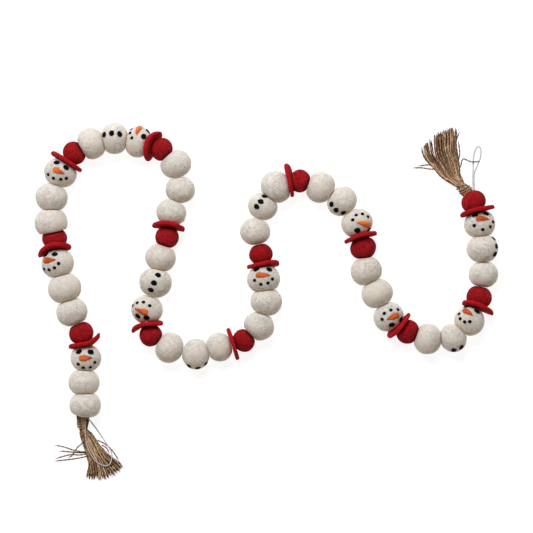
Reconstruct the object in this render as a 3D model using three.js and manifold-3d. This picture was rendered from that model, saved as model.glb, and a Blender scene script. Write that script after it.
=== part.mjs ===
// A felt snowman garland, laid out on a flat surface in three loose waves.
//
// Thirteen snowmen are threaded end to end on one string. Each has three balls of white wool
// felt, a flat red felt brim and a smaller red felt ball as the crown of its hat. A jute
// tassel closes each end, and the ends of the string stand out there as hanging loops.
//
// Millimetres, +Z up. The garland lies on z = 0, and the origin is below its middle.

import * as THREE from 'three';
import { mergeVertices } from 'three/addons/utils/BufferGeometryUtils.js';
import Module from 'manifold-3d';

const wasm = await Module();
wasm.setup();

// Driving dimensions
const GAP = 0.3;                // left between pieces that press on each other
const BRIM_GAP = 0.6;           // the same between a head and its bent brim
const BALL_SETTLE = 0.5;        // how far a ball's underside is flattened by its weight
const LEAST_REACH = 0.92;       // a ball's reach along the string, as a share of its radius,
const MOST_REACH = 1.06;        // is between these: it bulges out to a neighbour further off
const PRESS_SHARPNESS = 20;     // how tight the rounding is where a ball meets its neighbour
const END_PRESS = 0.77;         // where a tassel's pull flattens the end ball, share of radius
const STRING_HEIGHT = 19.5;     // of the string, and so of the crowns, above the surface
const BRIM_THICKNESS = 4.5;
const BRIM_JOIN = 1;            // how deep a crown is sewn down into its brim
const STRAND_SIZE = 1.9;        // width and height of a jute strand in a tassel
const YARN_SIZE = 1.5;          // and of a single yarn that has strayed out of it
const LOOP_DIAMETER = 1.2;      // the string

// Each ball is [x, y, diameter across the string] and each brim [x, y, diameter].
// facing is the way the hat points, in degrees from +X. The brims are bent: curl is how far
// the left and right edges come towards the crown, and lean how far the top edge does at the
// left and at the right (and its bottom edge away from it), all in millimetres.
const SNOWMEN = [
  { base: [-236, -133, 41.5], middle: [-237.5, -103.5, 41], head: [-235, -72, 40.5],
    brim: [-236, -54.5, 43], facing: 100, curl: [0, 9], lean: [0.5, 0], crown: [-241, -39.5, 32.5] },
  { base: [-253, -12, 41], middle: [-262.5, 19, 44], head: [-271.5, 51, 43],
    brim: [-276, 72, 44], facing: 97, curl: [-8, -3], lean: [3, 3], crown: [-275.5, 83.5, 32.5] },
  { base: [-280, 104, 43.5], middle: [-279.5, 137, 42.5], head: [-268, 169, 43],
    brim: [-260, 183.5, 46], facing: 58, curl: [0, 0], lean: [2, 1], crown: [-250, 194.5, 32] },
  { base: [-227.5, 207, 41.5], middle: [-197.5, 213.5, 41], head: [-167, 209, 40.5],
    brim: [-150.5, 204.5, 41], facing: -17, curl: [6, 2], lean: [-5, -4], crown: [-136, 199.5, 30.5] },
  { base: [-118, 180, 40.5], middle: [-112.5, 147, 39], head: [-124, 117.5, 39.5],
    brim: [-127, 100.5, 43.5], facing: -98, curl: [2, 2], lean: [-3, -2], crown: [-129.5, 85, 31] },
  { base: [-138, 58.5, 40.5], middle: [-144.5, 26.5, 43], head: [-155.5, -9, 41.5],
    brim: [-155.7, -27.3, 42.5], facing: -81, curl: [2.5, 6], lean: [2.5, -2], crown: [-150, -42.8, 30] },
  { base: [-126, -58.5, 40.5], middle: [-92, -66.5, 40.5], head: [-61.5, -57.5, 38.5],
    brim: [-43.5, -53.5, 43.5], facing: 17, curl: [0, 0], lean: [0, 0], crown: [-30, -49, 31] },
  { base: [-10, -30, 40.5], middle: [-0.5, 1.5, 41.5], head: [-4, 31, 43],
    brim: [-4.5, 49.5, 42.5], facing: 97, curl: [-1, -1], lean: [0, 4], crown: [-7.5, 63, 31.5] },
  { base: [-15, 92.5, 39.5], middle: [-5, 125, 39], head: [12.5, 150.5, 43],
    brim: [31, 159.5, 44], facing: 9, curl: [-3.5, -1], lean: [-2.5, 0], crown: [43.3, 158.5, 30.5] },
  { base: [70, 150, 41.5], middle: [98, 132, 40.5], head: [117.5, 103.5, 41.5],
    brim: [122, 86.5, 44], facing: -74, curl: [2, 2], lean: [-2, -1], crown: [125.5, 71.5, 34] },
  { base: [129.5, 41.5, 41.5], middle: [143.5, 12, 41.5], head: [158.5, -18, 40.5],
    brim: [172.5, -30, 42], facing: -43, curl: [-1, -1], lean: [0, 4], crown: [183.5, -37.5, 32] },
  { base: [209.5, -47, 40.5], middle: [242.5, -45.5, 38.5], head: [263, -24, 40.5],
    brim: [275, -5, 43.5], facing: 72, curl: [-1, -2], lean: [3, 1.5], crown: [276, 7, 33.5] },
  { base: [282, 37, 38.5], middle: [280.5, 70.5, 41.5], head: [277, 102, 41],
    brim: [273.5, 120, 46], facing: 105, curl: [-1, -1], lean: [1.5, 0], crown: [269, 131.5, 32.5] },
];
const FIRST_END_FACING = -98;   // degrees from +X, from the first base to its tassel
const LAST_END_FACING = 124;    // and from the last crown to its tassel

// Each tassel has a head, where its strands are bound into one body, and below it the strands
// in layers. A head station is a cut across it, facing along the tassel. A skirt row is a line
// across the strands, from its left to its right end as seen looking away from the head, with
// the height of the lowest strand's middle and the rise from layer to layer. bow rounds the
// line of the cut tips.
// A lock is a group of strands: how many side by side in each of its layers, and the shares of
// the skirt's width that it takes up at its root and at its tip.
const TASSELS = {
  tassel_left: {
    head: [
      { x: -238.3, y: -149, z: 12, facing: -98, width: 17.5, height: 10.4 },
      { x: -238.5, y: -156.5, z: 10.5, facing: -92, width: 15.5, height: 10.5 },
      { x: -238, y: -166, z: 8, facing: -82, width: 11.5, height: 10 },
      { x: -235, y: -173, z: 5.4, facing: -70, width: 17.5, height: 9.4 },
      { x: -231.5, y: -180, z: 4.4, facing: -66, width: 22, height: 8.8 },
    ],
    skirt: [
      { left: [-225.5, -173.5], right: [-240.5, -180], lowest: 1.7, rise: 2.7 },
      { left: [-214, -187], right: [-234.5, -196], lowest: 1.1, rise: 2.3 },
      { left: [-201.5, -203], right: [-231, -213], lowest: 0.95, rise: 2.15 },
      { left: [-187, -214], right: [-234, -228], lowest: 0.95, rise: 2.1 },
    ],
    bow: 8,
    locks: [
      { strands: 3, layers: 3, root: [0, 0.3], tip: [0, 0.13] },
      { strands: 5, layers: 3, root: [0.44, 1], tip: [0.3, 1] },
    ],
    yarns: [
      [[-234.5, -194.5, 3.4], [-242.5, -194.5, 3.1], [-252.5, -192.5, 1.6], [-264.5, -188.5, 0.8],
        [-277, -186, 0.8]],
      [[-234, -196, 0.9], [-244, -196, 0.8], [-257, -195, 0.8], [-268, -194, 0.8], [-271.5, -195, 0.8]],
      [[-234, -197.5, 0.9], [-244.5, -199, 0.8], [-255.5, -198.5, 0.8], [-266.5, -201, 0.8],
        [-276, -204, 0.8]],
      [[-233.5, -200.5, 0.9], [-238, -201.5, 0.8], [-248, -203.5, 0.8], [-259, -205, 0.8],
        [-277, -207, 0.8]],
      [[-237, -181, 5], [-246, -188, 5], [-250.5, -194.5, 4.4], [-254.5, -200, 3], [-260, -202.5, 0.8]],
      [[-221, -179.5, 1], [-212, -184, 0.8], [-203, -191.5, 0.8], [-195.5, -202, 0.8],
        [-192.5, -207, 0.8]],
      [[-215, -186, 0.9], [-209, -190, 0.8], [-205.5, -197.5, 0.8]],
    ],
  },
  tassel_right: {
    head: [
      { x: 259.8, y: 145.1, z: 15, facing: 124, width: 14.5, height: 9 },
      { x: 257.5, y: 148, z: 13.6, facing: 127, width: 15.5, height: 10 },
      { x: 254, y: 152, z: 11.5, facing: 130, width: 11.5, height: 9.5 },
      { x: 249, y: 157.5, z: 8, facing: 124, width: 16, height: 9 },
      { x: 243.5, y: 163, z: 5.2, facing: 116, width: 21.5, height: 9 },
      { x: 240, y: 168.5, z: 4.4, facing: 112, width: 25.5, height: 8.8 },
    ],
    skirt: [
      { left: [232, 161.6], right: [251.5, 170], lowest: 1.7, rise: 2.7 },
      { left: [218, 176], right: [249.5, 189], lowest: 1.1, rise: 2.3 },
      { left: [207.5, 188], right: [246.5, 204], lowest: 0.95, rise: 2.15 },
      { left: [203.5, 199], right: [247.5, 225.5], lowest: 0.95, rise: 2.1 },
    ],
    bow: 6.5,
    locks: [
      { strands: 3, layers: 3, root: [0, 0.22], tip: [0, 0.14] },
      { strands: 1, layers: 1, root: [0.32, 0.32], tip: [0.235, 0.235] },
      { strands: 6, layers: 3, root: [0.42, 0.92], tip: [0.36, 0.9] },
      { strands: 1, layers: 2, root: [1, 1], tip: [1, 1] },
    ],
    yarns: [
      [[220, 174.5, 1], [213, 174.5, 0.8], [203.5, 176, 0.8], [190.5, 176, 0.8]],
      [[216, 179.5, 1], [211, 180, 0.8], [206, 179.5, 0.8], [197.5, 178.5, 0.8]],
      [[250, 184, 1], [252.3, 194.5, 0.8], [251.5, 203, 0.8], [250.5, 211.5, 0.8]],
      [[247.2, 208, 1], [248.4, 214, 0.8], [250, 218.5, 0.8], [252.2, 223.2, 0.8]],
      [[249, 173.5, 1.5], [253.5, 178.5, 0.8], [255, 185, 0.8], [257, 188, 0.8], [261, 186.5, 1.4],
        [267, 184, 2.8], [273.5, 184, 2.8], [279, 185, 2.6]],
    ],
  },
};
const TIP_TRIM = 3;             // how unevenly the strands are cut off, in millimetres

// The route of each string loop from hole to hole. It comes down from the middle of the end
// ball, lies over the tassel or on the surface, and turns back.
const LOOPS = {
  loop_left: [
    [-236, -149.8, 19], [-236, -154, 18.4], [-236, -160, 16.8], [-236, -166, 14.8],
    [-235.8, -172, 12.8], [-235.6, -178, 11], [-234.6, -184, 9.6], [-232.4, -191, 8.7],
    [-228.8, -198.5, 8], [-224, -205.5, 7.6], [-218, -210, 7.4], [-212, -212.4, 7.4],
    [-207.6, -212.6, 7.4], [-204.4, -210.4, 7.4], [-202.6, -206, 7.5], [-201.9, -201.6, 7.6],
    [-201.9, -197.6, 6.2], [-203.2, -193.6, 3.4], [-205.2, -190.2, 2.6], [-207.3, -186.8, 2.7],
    [-210.2, -182.2, 2.1], [-214.6, -175.8, 0.8], [-218.8, -169.6, 0.8], [-222.6, -164, 2.6],
    [-225.6, -159.8, 6.6], [-227.8, -156.4, 11.4], [-229.2, -154.2, 15.4], [-230.6, -152.2, 18.3],
    [-232.6, -150.1, 19.3],
  ],
  loop_right: [
    [268.6, 146.6, 18.6], [268.6, 149.6, 17.2], [268.7, 154, 13.4], [268.9, 159, 8.6],
    [269.2, 164.4, 4.2], [269.6, 169.6, 1.4], [269.9, 175.6, 0.7], [269.8, 182.4, 0.7],
    [270.2, 189.2, 0.7], [271.6, 196, 0.7], [273.4, 201, 0.7], [276, 203.8, 0.7],
    [278.4, 203, 0.7], [279.8, 199, 0.7], [279.8, 193.4, 0.7], [278.8, 188, 0.7],
    [277, 183, 0.7], [274.8, 177.6, 0.7], [272.6, 173, 0.7], [271.5, 168.6, 1.6],
    [271, 164.2, 4.2], [270.7, 159, 8.6], [270.5, 154, 13.4], [270.3, 149.6, 17.2],
    [270.2, 146.6, 18.6],
  ],
};

const felt = { roughness: 0.95, metalness: 0 };
const MATERIALS = {
  white_felt: new THREE.MeshStandardMaterial({ color: 0xded9d0, ...felt }),
  red_felt: new THREE.MeshStandardMaterial({ color: 0xa81f26, ...felt }),
  jute: new THREE.MeshStandardMaterial({ color: 0x96785a, ...felt }),
  string: new THREE.MeshStandardMaterial({ color: 0xc9c9c6, ...felt }),
};

const UP = new THREE.Vector3(0, 0, 1);
const TURN = 2 * Math.PI;
const radians = THREE.MathUtils.degToRad;
const lerp = THREE.MathUtils.lerp;

function facingVector(degrees) {
  return new THREE.Vector3(Math.cos(radians(degrees)), Math.sin(radians(degrees)), 0);
}

function leftOf(facing) {
  return UP.clone().cross(facing).normalize();
}

function unitBetween(from, to) {
  return to.clone().sub(from).normalize();
}

// Moves every vertex of a three.js shape to where place(vertex) says, and welds its seams.
function reshape(shape, place) {
  shape.deleteAttribute('normal');
  shape.deleteAttribute('uv');
  const positions = shape.attributes.position;
  const vertex = new THREE.Vector3();
  for (let i = 0; i < positions.count; i += 1) {
    vertex.fromBufferAttribute(positions, i);
    positions.setXYZ(i, ...place(vertex));
  }
  return mergeVertices(shape, 1e-4);
}

function toSolid(geometry) {
  const vertProperties = new Float32Array(geometry.attributes.position.array);
  const triVerts = new Uint32Array(geometry.index.array);
  return new wasm.Manifold(new wasm.Mesh({ numProp: 3, vertProperties, triVerts }));
}

function toGeometry(solid) {
  const mesh = solid.getMesh();
  const geometry = new THREE.BufferGeometry();
  geometry.setAttribute('position', new THREE.BufferAttribute(mesh.vertProperties, 3));
  geometry.setIndex(new THREE.BufferAttribute(mesh.triVerts, 1));
  return geometry;
}

function joined(geometries) {
  return toGeometry(geometries.map(toSolid).reduce((whole, solid) => whole.add(solid)));
}

// Brims. A brim is a round disc across the string, with its left and right edges bent.
// left and facing are its own axes, and bend says how far it is bent at a place on it.

// Each row of a brim's vertices, from the middle of its crown side to the middle of its head
// side: share of the radius, and share of half the thickness.
const BRIM_ROWS = [
  { radius: 0, side: 1 }, { radius: 0.6, side: 1 }, { radius: 0.95, side: 0.8 },
  { radius: 1, side: 0 },
  { radius: 0.95, side: -0.8 }, { radius: 0.6, side: -1 }, { radius: 0, side: -1 },
];
const BRIM_COLUMNS = 18;

function makeBrim({ brim: [x, y, diameter], facing: degrees, curl, lean }) {
  const radius = diameter / 2;
  const facing = facingVector(degrees);
  // Two columns of vertices straddle the lowest point, so that the brim stands on an edge.
  const height = radius * Math.cos(Math.PI / BRIM_COLUMNS);
  const bend = (across, upward) => {
    const edge = across > 0 ? curl[0] : curl[1];
    const slant = lerp(lean[1], lean[0], (1 + across / radius) / 2);
    return edge * (across / radius) ** 2 + (slant * upward) / radius;
  };
  return { centre: new THREE.Vector3(x, y, height), radius, facing, left: leftOf(facing), bend };
}

function brimGeometry(brim) {
  const place = (vertex) => {
    const turn = Math.acos(THREE.MathUtils.clamp(vertex.z, -1, 1)) / Math.PI;
    const row = BRIM_ROWS[Math.round(turn * (BRIM_ROWS.length - 1))];
    const around = Math.atan2(vertex.y, vertex.x);
    const across = brim.radius * row.radius * Math.cos(around);
    const upward = brim.radius * row.radius * Math.sin(around);
    const placed = brim.centre.clone();
    const forward = brim.bend(across, upward) + (row.side * BRIM_THICKNESS) / 2;
    placed.addScaledVector(brim.left, across);
    placed.addScaledVector(UP, upward);
    placed.addScaledVector(brim.facing, forward);
    placed.z = Math.max(placed.z, 0);
    return placed;
  };
  const sphere = new THREE.SphereGeometry(1, BRIM_COLUMNS, BRIM_ROWS.length - 1);
  return reshape(sphere.rotateX(Math.PI / 2), place);
}

// Balls. A ball is a slightly oblate sphere, pressed softly against the walls it meets.
// A wall is a function that gives how far off it is from the ball's centre in a direction.

function flatWall(normal, distance) {
  return (direction) => {
    const facing = direction.dot(normal);
    return facing > 0 ? distance / facing : Infinity;
  };
}

// The head's side (side -1) or crown's side (side 1) of a bent brim, found by halving steps.
function brimWall(brim, centre, side, clearance) {
  const inside = (direction, distance) => {
    const offset = centre.clone().addScaledVector(direction, distance).sub(brim.centre);
    const ahead = offset.dot(brim.facing) - brim.bend(offset.dot(brim.left), offset.z);
    return side * ahead > BRIM_THICKNESS / 2 + clearance;
  };
  return (direction) => {
    let near = 0;
    let far = 2 * brim.radius;
    if (inside(direction, far)) {
      return Infinity;
    }
    while (far - near > 1e-4) {
      const half = (near + far) / 2;
      if (inside(direction, half)) {
        near = half;
      } else {
        far = half;
      }
    }
    return near;
  };
}

function ballCentre([x, y, diameter]) {
  return new THREE.Vector3(x, y, diameter / 2 - BALL_SETTLE);
}

// Degrees from the top of each row of vertices. The last but one rims the flat spot below.
const BALL_ROWS = [0, 26, 50, 76, 104, 130, 149, 168, 180];
// Degrees around from the string of each column. The ones next to 0 and 180 rim the flats
// where a ball meets its neighbours.
const BALL_COLUMNS = [0, 42, 66, 90, 114, 138, 180, 222, 246, 270, 294, 318];

// back and ahead are the ball's two neighbours on the string: the way to each, and its wall.
function ballGeometry({ centre, radius, back, ahead }) {
  const axis = unitBetween(back.way, ahead.way);
  const reachTo = ({ way, wall }) => radius * THREE.MathUtils.clamp(
    (MOST_REACH * wall(way)) / radius,
    LEAST_REACH,
    MOST_REACH,
  );
  const reachBack = reachTo(back);
  const reachAhead = reachTo(ahead);
  const firstColumn = Math.atan2(axis.y, axis.x);
  const place = (vertex) => {
    const turn = Math.acos(THREE.MathUtils.clamp(vertex.z, -1, 1)) / Math.PI;
    const polar = radians(BALL_ROWS[Math.round(turn * (BALL_ROWS.length - 1))]);
    const column = Math.round((Math.atan2(vertex.y, vertex.x) / TURN) * BALL_COLUMNS.length);
    const around = firstColumn + radians(BALL_COLUMNS.at(column % BALL_COLUMNS.length));
    const direction = new THREE.Vector3(
      Math.sin(polar) * Math.cos(around),
      Math.sin(polar) * Math.sin(around),
      Math.cos(polar),
    );
    const along = direction.dot(axis);
    const across = Math.sqrt(Math.max(0, 1 - along * along));
    const free = 1 / Math.hypot(across / radius, along / (along > 0 ? reachAhead : reachBack));
    const limits = [free, back.wall(direction), ahead.wall(direction)];
    const pressed = limits.reduce((sum, limit) => sum + limit ** -PRESS_SHARPNESS, 0);
    const placed = direction.multiplyScalar(pressed ** (-1 / PRESS_SHARPNESS)).add(centre);
    placed.z = Math.max(placed.z, 0);
    return placed;
  };
  const sphere = new THREE.SphereGeometry(1, BALL_COLUMNS.length, BALL_ROWS.length - 1);
  return reshape(sphere.rotateX(Math.PI / 2), place);
}

// The wall between two balls that press on each other, as the first and the second meet it.
function contact(first, second) {
  const way = unitBetween(first.centre, second.centre);
  const distance = first.centre.distanceTo(second.centre);
  const share = first.radius / (first.radius + second.radius);
  const back = way.clone().negate();
  first.ahead = { way, wall: flatWall(way, distance * share - GAP / 2) };
  second.back = { way: back, wall: flatWall(back, distance * (1 - share) - GAP / 2) };
}

function endContact(ball, facing) {
  const way = facingVector(facing);
  return { way, wall: flatWall(way, ball.radius * END_PRESS - GAP / 2) };
}

function makeSnowman(row) {
  const makeBall = (numbers) => ({ centre: ballCentre(numbers), radius: numbers[2] / 2 });
  const [base, middle, head, crown] = [row.base, row.middle, row.head, row.crown].map(makeBall);
  const brim = makeBrim(row);
  crown.centre.z = STRING_HEIGHT;
  contact(base, middle);
  contact(middle, head);
  head.ahead = {
    way: unitBetween(head.centre, brim.centre),
    wall: brimWall(brim, head.centre, -1, BRIM_GAP),
  };
  crown.back = {
    way: unitBetween(crown.centre, brim.centre),
    wall: brimWall(brim, crown.centre, 1, -BRIM_JOIN),
  };
  return { base, middle, head, brim, crown };
}

// Tassels. levelSweep carries a three.js shape of unit size and length along stations, each
// with its place, its direction on the surface, and its width and height.
function levelSweep(shape, stationAt) {
  const place = (vertex) => {
    const { point, facing, width, height } = stationAt(vertex.z + 0.5);
    const placed = point.clone();
    placed.addScaledVector(leftOf(facing), vertex.x * width);
    placed.addScaledVector(UP, vertex.y * height);
    return placed;
  };
  return reshape(shape, place);
}

function strandGeometry(points, size, steps) {
  const curve = new THREE.CatmullRomCurve3(points, false, 'centripetal');
  const box = new THREE.BoxGeometry(1, 1, 1, 1, 1, steps);
  return levelSweep(box, (at) => {
    const along = THREE.MathUtils.clamp(at, 0, 1);
    const facing = curve.getTangent(along).setZ(0).normalize();
    return { point: curve.getPoint(along), facing, width: size, height: size };
  });
}

// A head's cut is a rounded block: a circle whose points are pushed out towards its corners.
const HEAD_SIDES = 16;
const HEAD_CORNER = 5;

function headGeometry(stations) {
  const steps = stations.length - 1;
  const cylinder = new THREE.CylinderGeometry(0.5, 0.5, 1, HEAD_SIDES, steps).rotateX(Math.PI / 2);
  const rounded = reshape(cylinder, ({ x, y, z }) => {
    const cornered = (Math.abs(x) ** HEAD_CORNER + Math.abs(y) ** HEAD_CORNER) ** (1 / HEAD_CORNER);
    const push = cornered > 0 ? Math.hypot(x, y) / cornered : 1;
    return new THREE.Vector3(x * push, y * push, z);
  });
  return levelSweep(rounded, (at) => {
    const { x, y, z, facing, width, height } = stations[Math.round(at * steps)];
    return { point: new THREE.Vector3(x, y, z), facing: facingVector(facing), width, height };
  });
}

// One strand from the head to its tip, at shares of the skirt's width and in a layer.
function skirtStrand({ skirt, bow }, rootShare, tipShare, layer, trim) {
  const last = skirt.length - 1;
  const points = skirt.map(({ left, right, lowest, rise }, index) => {
    const share = lerp(rootShare, tipShare, index / last);
    return new THREE.Vector3(
      lerp(left[0], right[0], share),
      lerp(left[1], right[1], share),
      lowest + rise * layer,
    );
  });
  const outward = unitBetween(points[last - 1], points[last]).setZ(0);
  points[last].addScaledVector(outward, bow * 4 * tipShare * (1 - tipShare) - trim);
  return strandGeometry(points, STRAND_SIZE, skirt.length);
}

function tasselGeometry(tassel) {
  const pieces = [headGeometry(tassel.head)];
  for (const { strands, layers, root, tip } of tassel.locks) {
    for (let layer = 0; layer < layers; layer += 1) {
      for (let place = 0; place < strands; place += 1) {
        const share = strands > 1 ? place / (strands - 1) : 0.5;
        // Every third strand is cut at the same length, which leaves the tips ragged.
        const trim = (TIP_TRIM * ((place + 2 * layer) % 3)) / 2;
        const rootShare = lerp(root[0], root[1], share);
        pieces.push(skirtStrand(tassel, rootShare, lerp(tip[0], tip[1], share), layer, trim));
      }
    }
  }
  for (const yarn of tassel.yarns) {
    const points = yarn.map((point) => new THREE.Vector3(...point));
    pieces.push(strandGeometry(points, YARN_SIZE, points.length + 2));
  }
  return joined(pieces);
}

// String loops
const LOOP_SIDES = 8;
const LOOP_STEP = 3 * LOOP_DIAMETER;

function loopGeometry(route) {
  const path = new THREE.CatmullRomCurve3(route.map((point) => new THREE.Vector3(...point)));
  const section = new THREE.Shape();
  for (let corner = 0; corner < LOOP_SIDES; corner += 1) {
    const turn = (TURN * corner) / LOOP_SIDES;
    const [x, y] = [(LOOP_DIAMETER / 2) * Math.cos(turn), (LOOP_DIAMETER / 2) * Math.sin(turn)];
    if (corner === 0) {
      section.moveTo(x, y);
    } else {
      section.lineTo(x, y);
    }
  }
  const steps = Math.round(path.getLength() / LOOP_STEP);
  return new THREE.ExtrudeGeometry(section, { steps, bevelEnabled: false, extrudePath: path });
}

// The garland
const garland = new THREE.Group();

function addPiece(name, geometry, material) {
  geometry.computeVertexNormals();
  const mesh = new THREE.Mesh(geometry, MATERIALS[material]);
  mesh.name = name;
  garland.add(mesh);
}

const snowmen = SNOWMEN.map(makeSnowman);
snowmen.forEach((snowman, index) => {
  if (index > 0) {
    contact(snowmen[index - 1].crown, snowman.base);
  }
});
snowmen[0].base.back = endContact(snowmen[0].base, FIRST_END_FACING);
snowmen.at(-1).crown.ahead = endContact(snowmen.at(-1).crown, LAST_END_FACING);

snowmen.forEach(({ base, middle, head, brim, crown }, index) => {
  const snowman = `snowman_${String(index + 1).padStart(2, '0')}`;
  addPiece(`${snowman}_base`, ballGeometry(base), 'white_felt');
  addPiece(`${snowman}_middle`, ballGeometry(middle), 'white_felt');
  addPiece(`${snowman}_head`, ballGeometry(head), 'white_felt');
  addPiece(`${snowman}_hat`, joined([brimGeometry(brim), ballGeometry(crown)]), 'red_felt');
});
for (const [name, tassel] of Object.entries(TASSELS)) {
  addPiece(name, tasselGeometry(tassel), 'jute');
}
for (const [name, route] of Object.entries(LOOPS)) {
  addPiece(name, loopGeometry(route), 'string');
}

export default garland;
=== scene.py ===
# %% [markdown]
# # A felt snowman garland
#
# Thirteen small snowmen lie on one string. Each is three balls of white wool felt under a red
# felt hat, and a tassel of jute closes either end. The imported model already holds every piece
# at its real size and place. This lesson dresses it: a finer mesh of the same form takes the
# place of each plain solid, and wool, pressed felt, jute and string get their own finishes.

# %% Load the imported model
import math
import random

import bmesh
import bpy
import numpy as np
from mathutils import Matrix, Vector, noise


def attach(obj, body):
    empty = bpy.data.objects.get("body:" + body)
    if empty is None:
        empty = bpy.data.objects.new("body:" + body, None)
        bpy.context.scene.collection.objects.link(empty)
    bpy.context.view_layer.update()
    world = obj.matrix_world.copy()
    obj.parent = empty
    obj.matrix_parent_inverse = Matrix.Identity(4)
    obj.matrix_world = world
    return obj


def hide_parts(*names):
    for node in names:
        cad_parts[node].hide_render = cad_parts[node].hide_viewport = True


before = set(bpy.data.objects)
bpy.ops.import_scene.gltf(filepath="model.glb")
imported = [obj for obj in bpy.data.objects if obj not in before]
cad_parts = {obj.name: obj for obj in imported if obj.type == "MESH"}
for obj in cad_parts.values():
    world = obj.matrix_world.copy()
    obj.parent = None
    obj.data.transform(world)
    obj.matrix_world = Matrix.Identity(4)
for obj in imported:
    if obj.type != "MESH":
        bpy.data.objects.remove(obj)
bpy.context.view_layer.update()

MM = 0.001

# %% [markdown]
# ## The camera
#
# The photograph looks straight down on the garland from far away, so the balls near its edges
# show no more of their sides than those in its middle. A long lens high above does the same.
# One of its pixels is 1.3 mm on the garland. A place that was measured or read off in the
# photograph is kept as a pixel, and at_pixel says where that is in the frame.

# %% Camera
IMAGE_PIXELS = 533
MM_PER_PIXEL = 1.3
ORIGIN_PIXEL = (266.6, 302.8)   # where the photograph has the frame's origin
MIDDLE_PIXEL = (266.5, 266.5)
CAMERA_HEIGHT = 4000            # mm
WIDEST_HEIGHT = 19.5            # mm, where the balls are widest and their outlines are
SENSOR_WIDTH = 36


def at_pixel(px, py):
    return (px - ORIGIN_PIXEL[0]) * MM_PER_PIXEL, (ORIGIN_PIXEL[1] - py) * MM_PER_PIXEL


camera = bpy.data.objects.new("camera", bpy.data.cameras.new("camera"))
camera.location = Vector((*at_pixel(*MIDDLE_PIXEL), CAMERA_HEIGHT)) * MM
camera.data.sensor_width = SENSOR_WIDTH
view_width = IMAGE_PIXELS * MM_PER_PIXEL
camera.data.lens = SENSOR_WIDTH * (CAMERA_HEIGHT - WIDEST_HEIGHT) / view_width
bpy.context.collection.objects.link(camera)
bpy.context.scene.camera = camera
print(f"The view is {view_width:.0f} mm wide, through a {camera.data.lens:.0f} mm lens")

# %% [markdown]
# ## Colours and nodes
#
# A colour is written as the eye reads it off a screen, in sRGB hex, and a shader wants it
# linear. One function turns the first into the second. A material here is a small net of
# nodes, so one more function adds a node, sets it up and plugs it in.

# %% Colour and node helpers
MIX_A, MIX_B, MIX_RESULT = 6, 7, 2   # a Mix node has a socket of each kind for every data type


def linear(hex_colour):
    channels = [int(hex_colour[i:i + 2], 16) / 255 for i in (1, 3, 5)]
    curved = [c / 12.92 if c <= 0.04045 else ((c + 0.055) / 1.055) ** 2.4 for c in channels]
    return (*curved, 1)


def add_node(tree, kind, settings, links):
    """Adds a node. settings are its own properties or its inputs' values, and links its inputs'
    sources."""
    node = tree.nodes.new("ShaderNode" + kind)
    for key, value in settings.items():
        if isinstance(key, str) and key in node.bl_rna.properties:
            setattr(node, key, value)
        else:
            node.inputs[key].default_value = value
    for key, source in links.items():
        tree.links.new(source, node.inputs[key])
    return node


def new_material(name):
    """A material with only its output, and the tree to build it in."""
    material = bpy.data.materials.new(name)
    material.use_nodes = True
    material.node_tree.nodes.clear()
    return material, material.node_tree


def finish_material(tree, shader):
    add_node(tree, "OutputMaterial", {}, {"Surface": shader.outputs[0]})


def per_metre(millimetres):
    """The scale of a texture whose marks are that far apart."""
    return 1 / (millimetres * MM)


print("White felt in linear light:", [round(c, 3) for c in linear("#F1EBE0")])

# %% [markdown]
# ## Wool felt
#
# The balls are wet-felted wool: loose fibres are rolled in warm water until they lock. That
# leaves a dry, quite matt skin of crossed fibres, with no thread or grain. It has thin, shallow
# creases, curved like arcs, where the outer layer slid while it shrank. A woven pattern would
# be wrong, and so would plain noise, which looks like stone. So a fine noise that is bent in
# itself makes the crossed fibres, and a broad one the creases: they run where it crosses its
# middle value, which gives thin curved lines.
#
# Wool keratin has an IOR of about 1.54. A roughness near 0.9 and a little sheen give the dry,
# hairy look. Light goes some way into white wool and comes out again, which softens its shade.
# The deep red dye swallows it, so the red balls are lit more harshly. Single fibres are 0.03 mm
# thick, far too fine to show here, so they are drawn as matted locks 3 mm apart, with finer
# ones between them.

# %% Wool felt material
WOOL_IOR = 1.54
FIBRE_SIZE = 3       # mm between locks of fibres
FOLD_SIZE = 7        # mm, about twice as far as the creases are apart
FOLD_WEIGHT = 0.5    # how deep a crease is beside the fibres
SWIRL_SIZE = 13      # mm across a swirl
SWIRL_REACH = 3      # mm that a swirl drags the fibres along
CLOUD_SIZE = 30      # mm between a creamier and a greyer place
SCATTER_REACH = 10   # mm that light goes in white wool before it comes out
# The stretches of a noise's values that count, which are mostly near 0.5.
FIBRE_RANGE = {"From Min": 0.3, "From Max": 0.7}     # from between the fibres to on them
CREASE_RANGE = {"From Min": 0, "From Max": 0.1}      # from the middle of a crease to its edge
FADE_RANGE = {"From Min": 0.3, "From Max": 0.75}     # from clear creases to none
CLOUD_RANGE = {"From Min": 0.42, "From Max": 0.66}   # from no cloud to a full one
FULL_HEIGHT = 1.35   # of fibres and creases together, where the wool has its own colour


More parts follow.
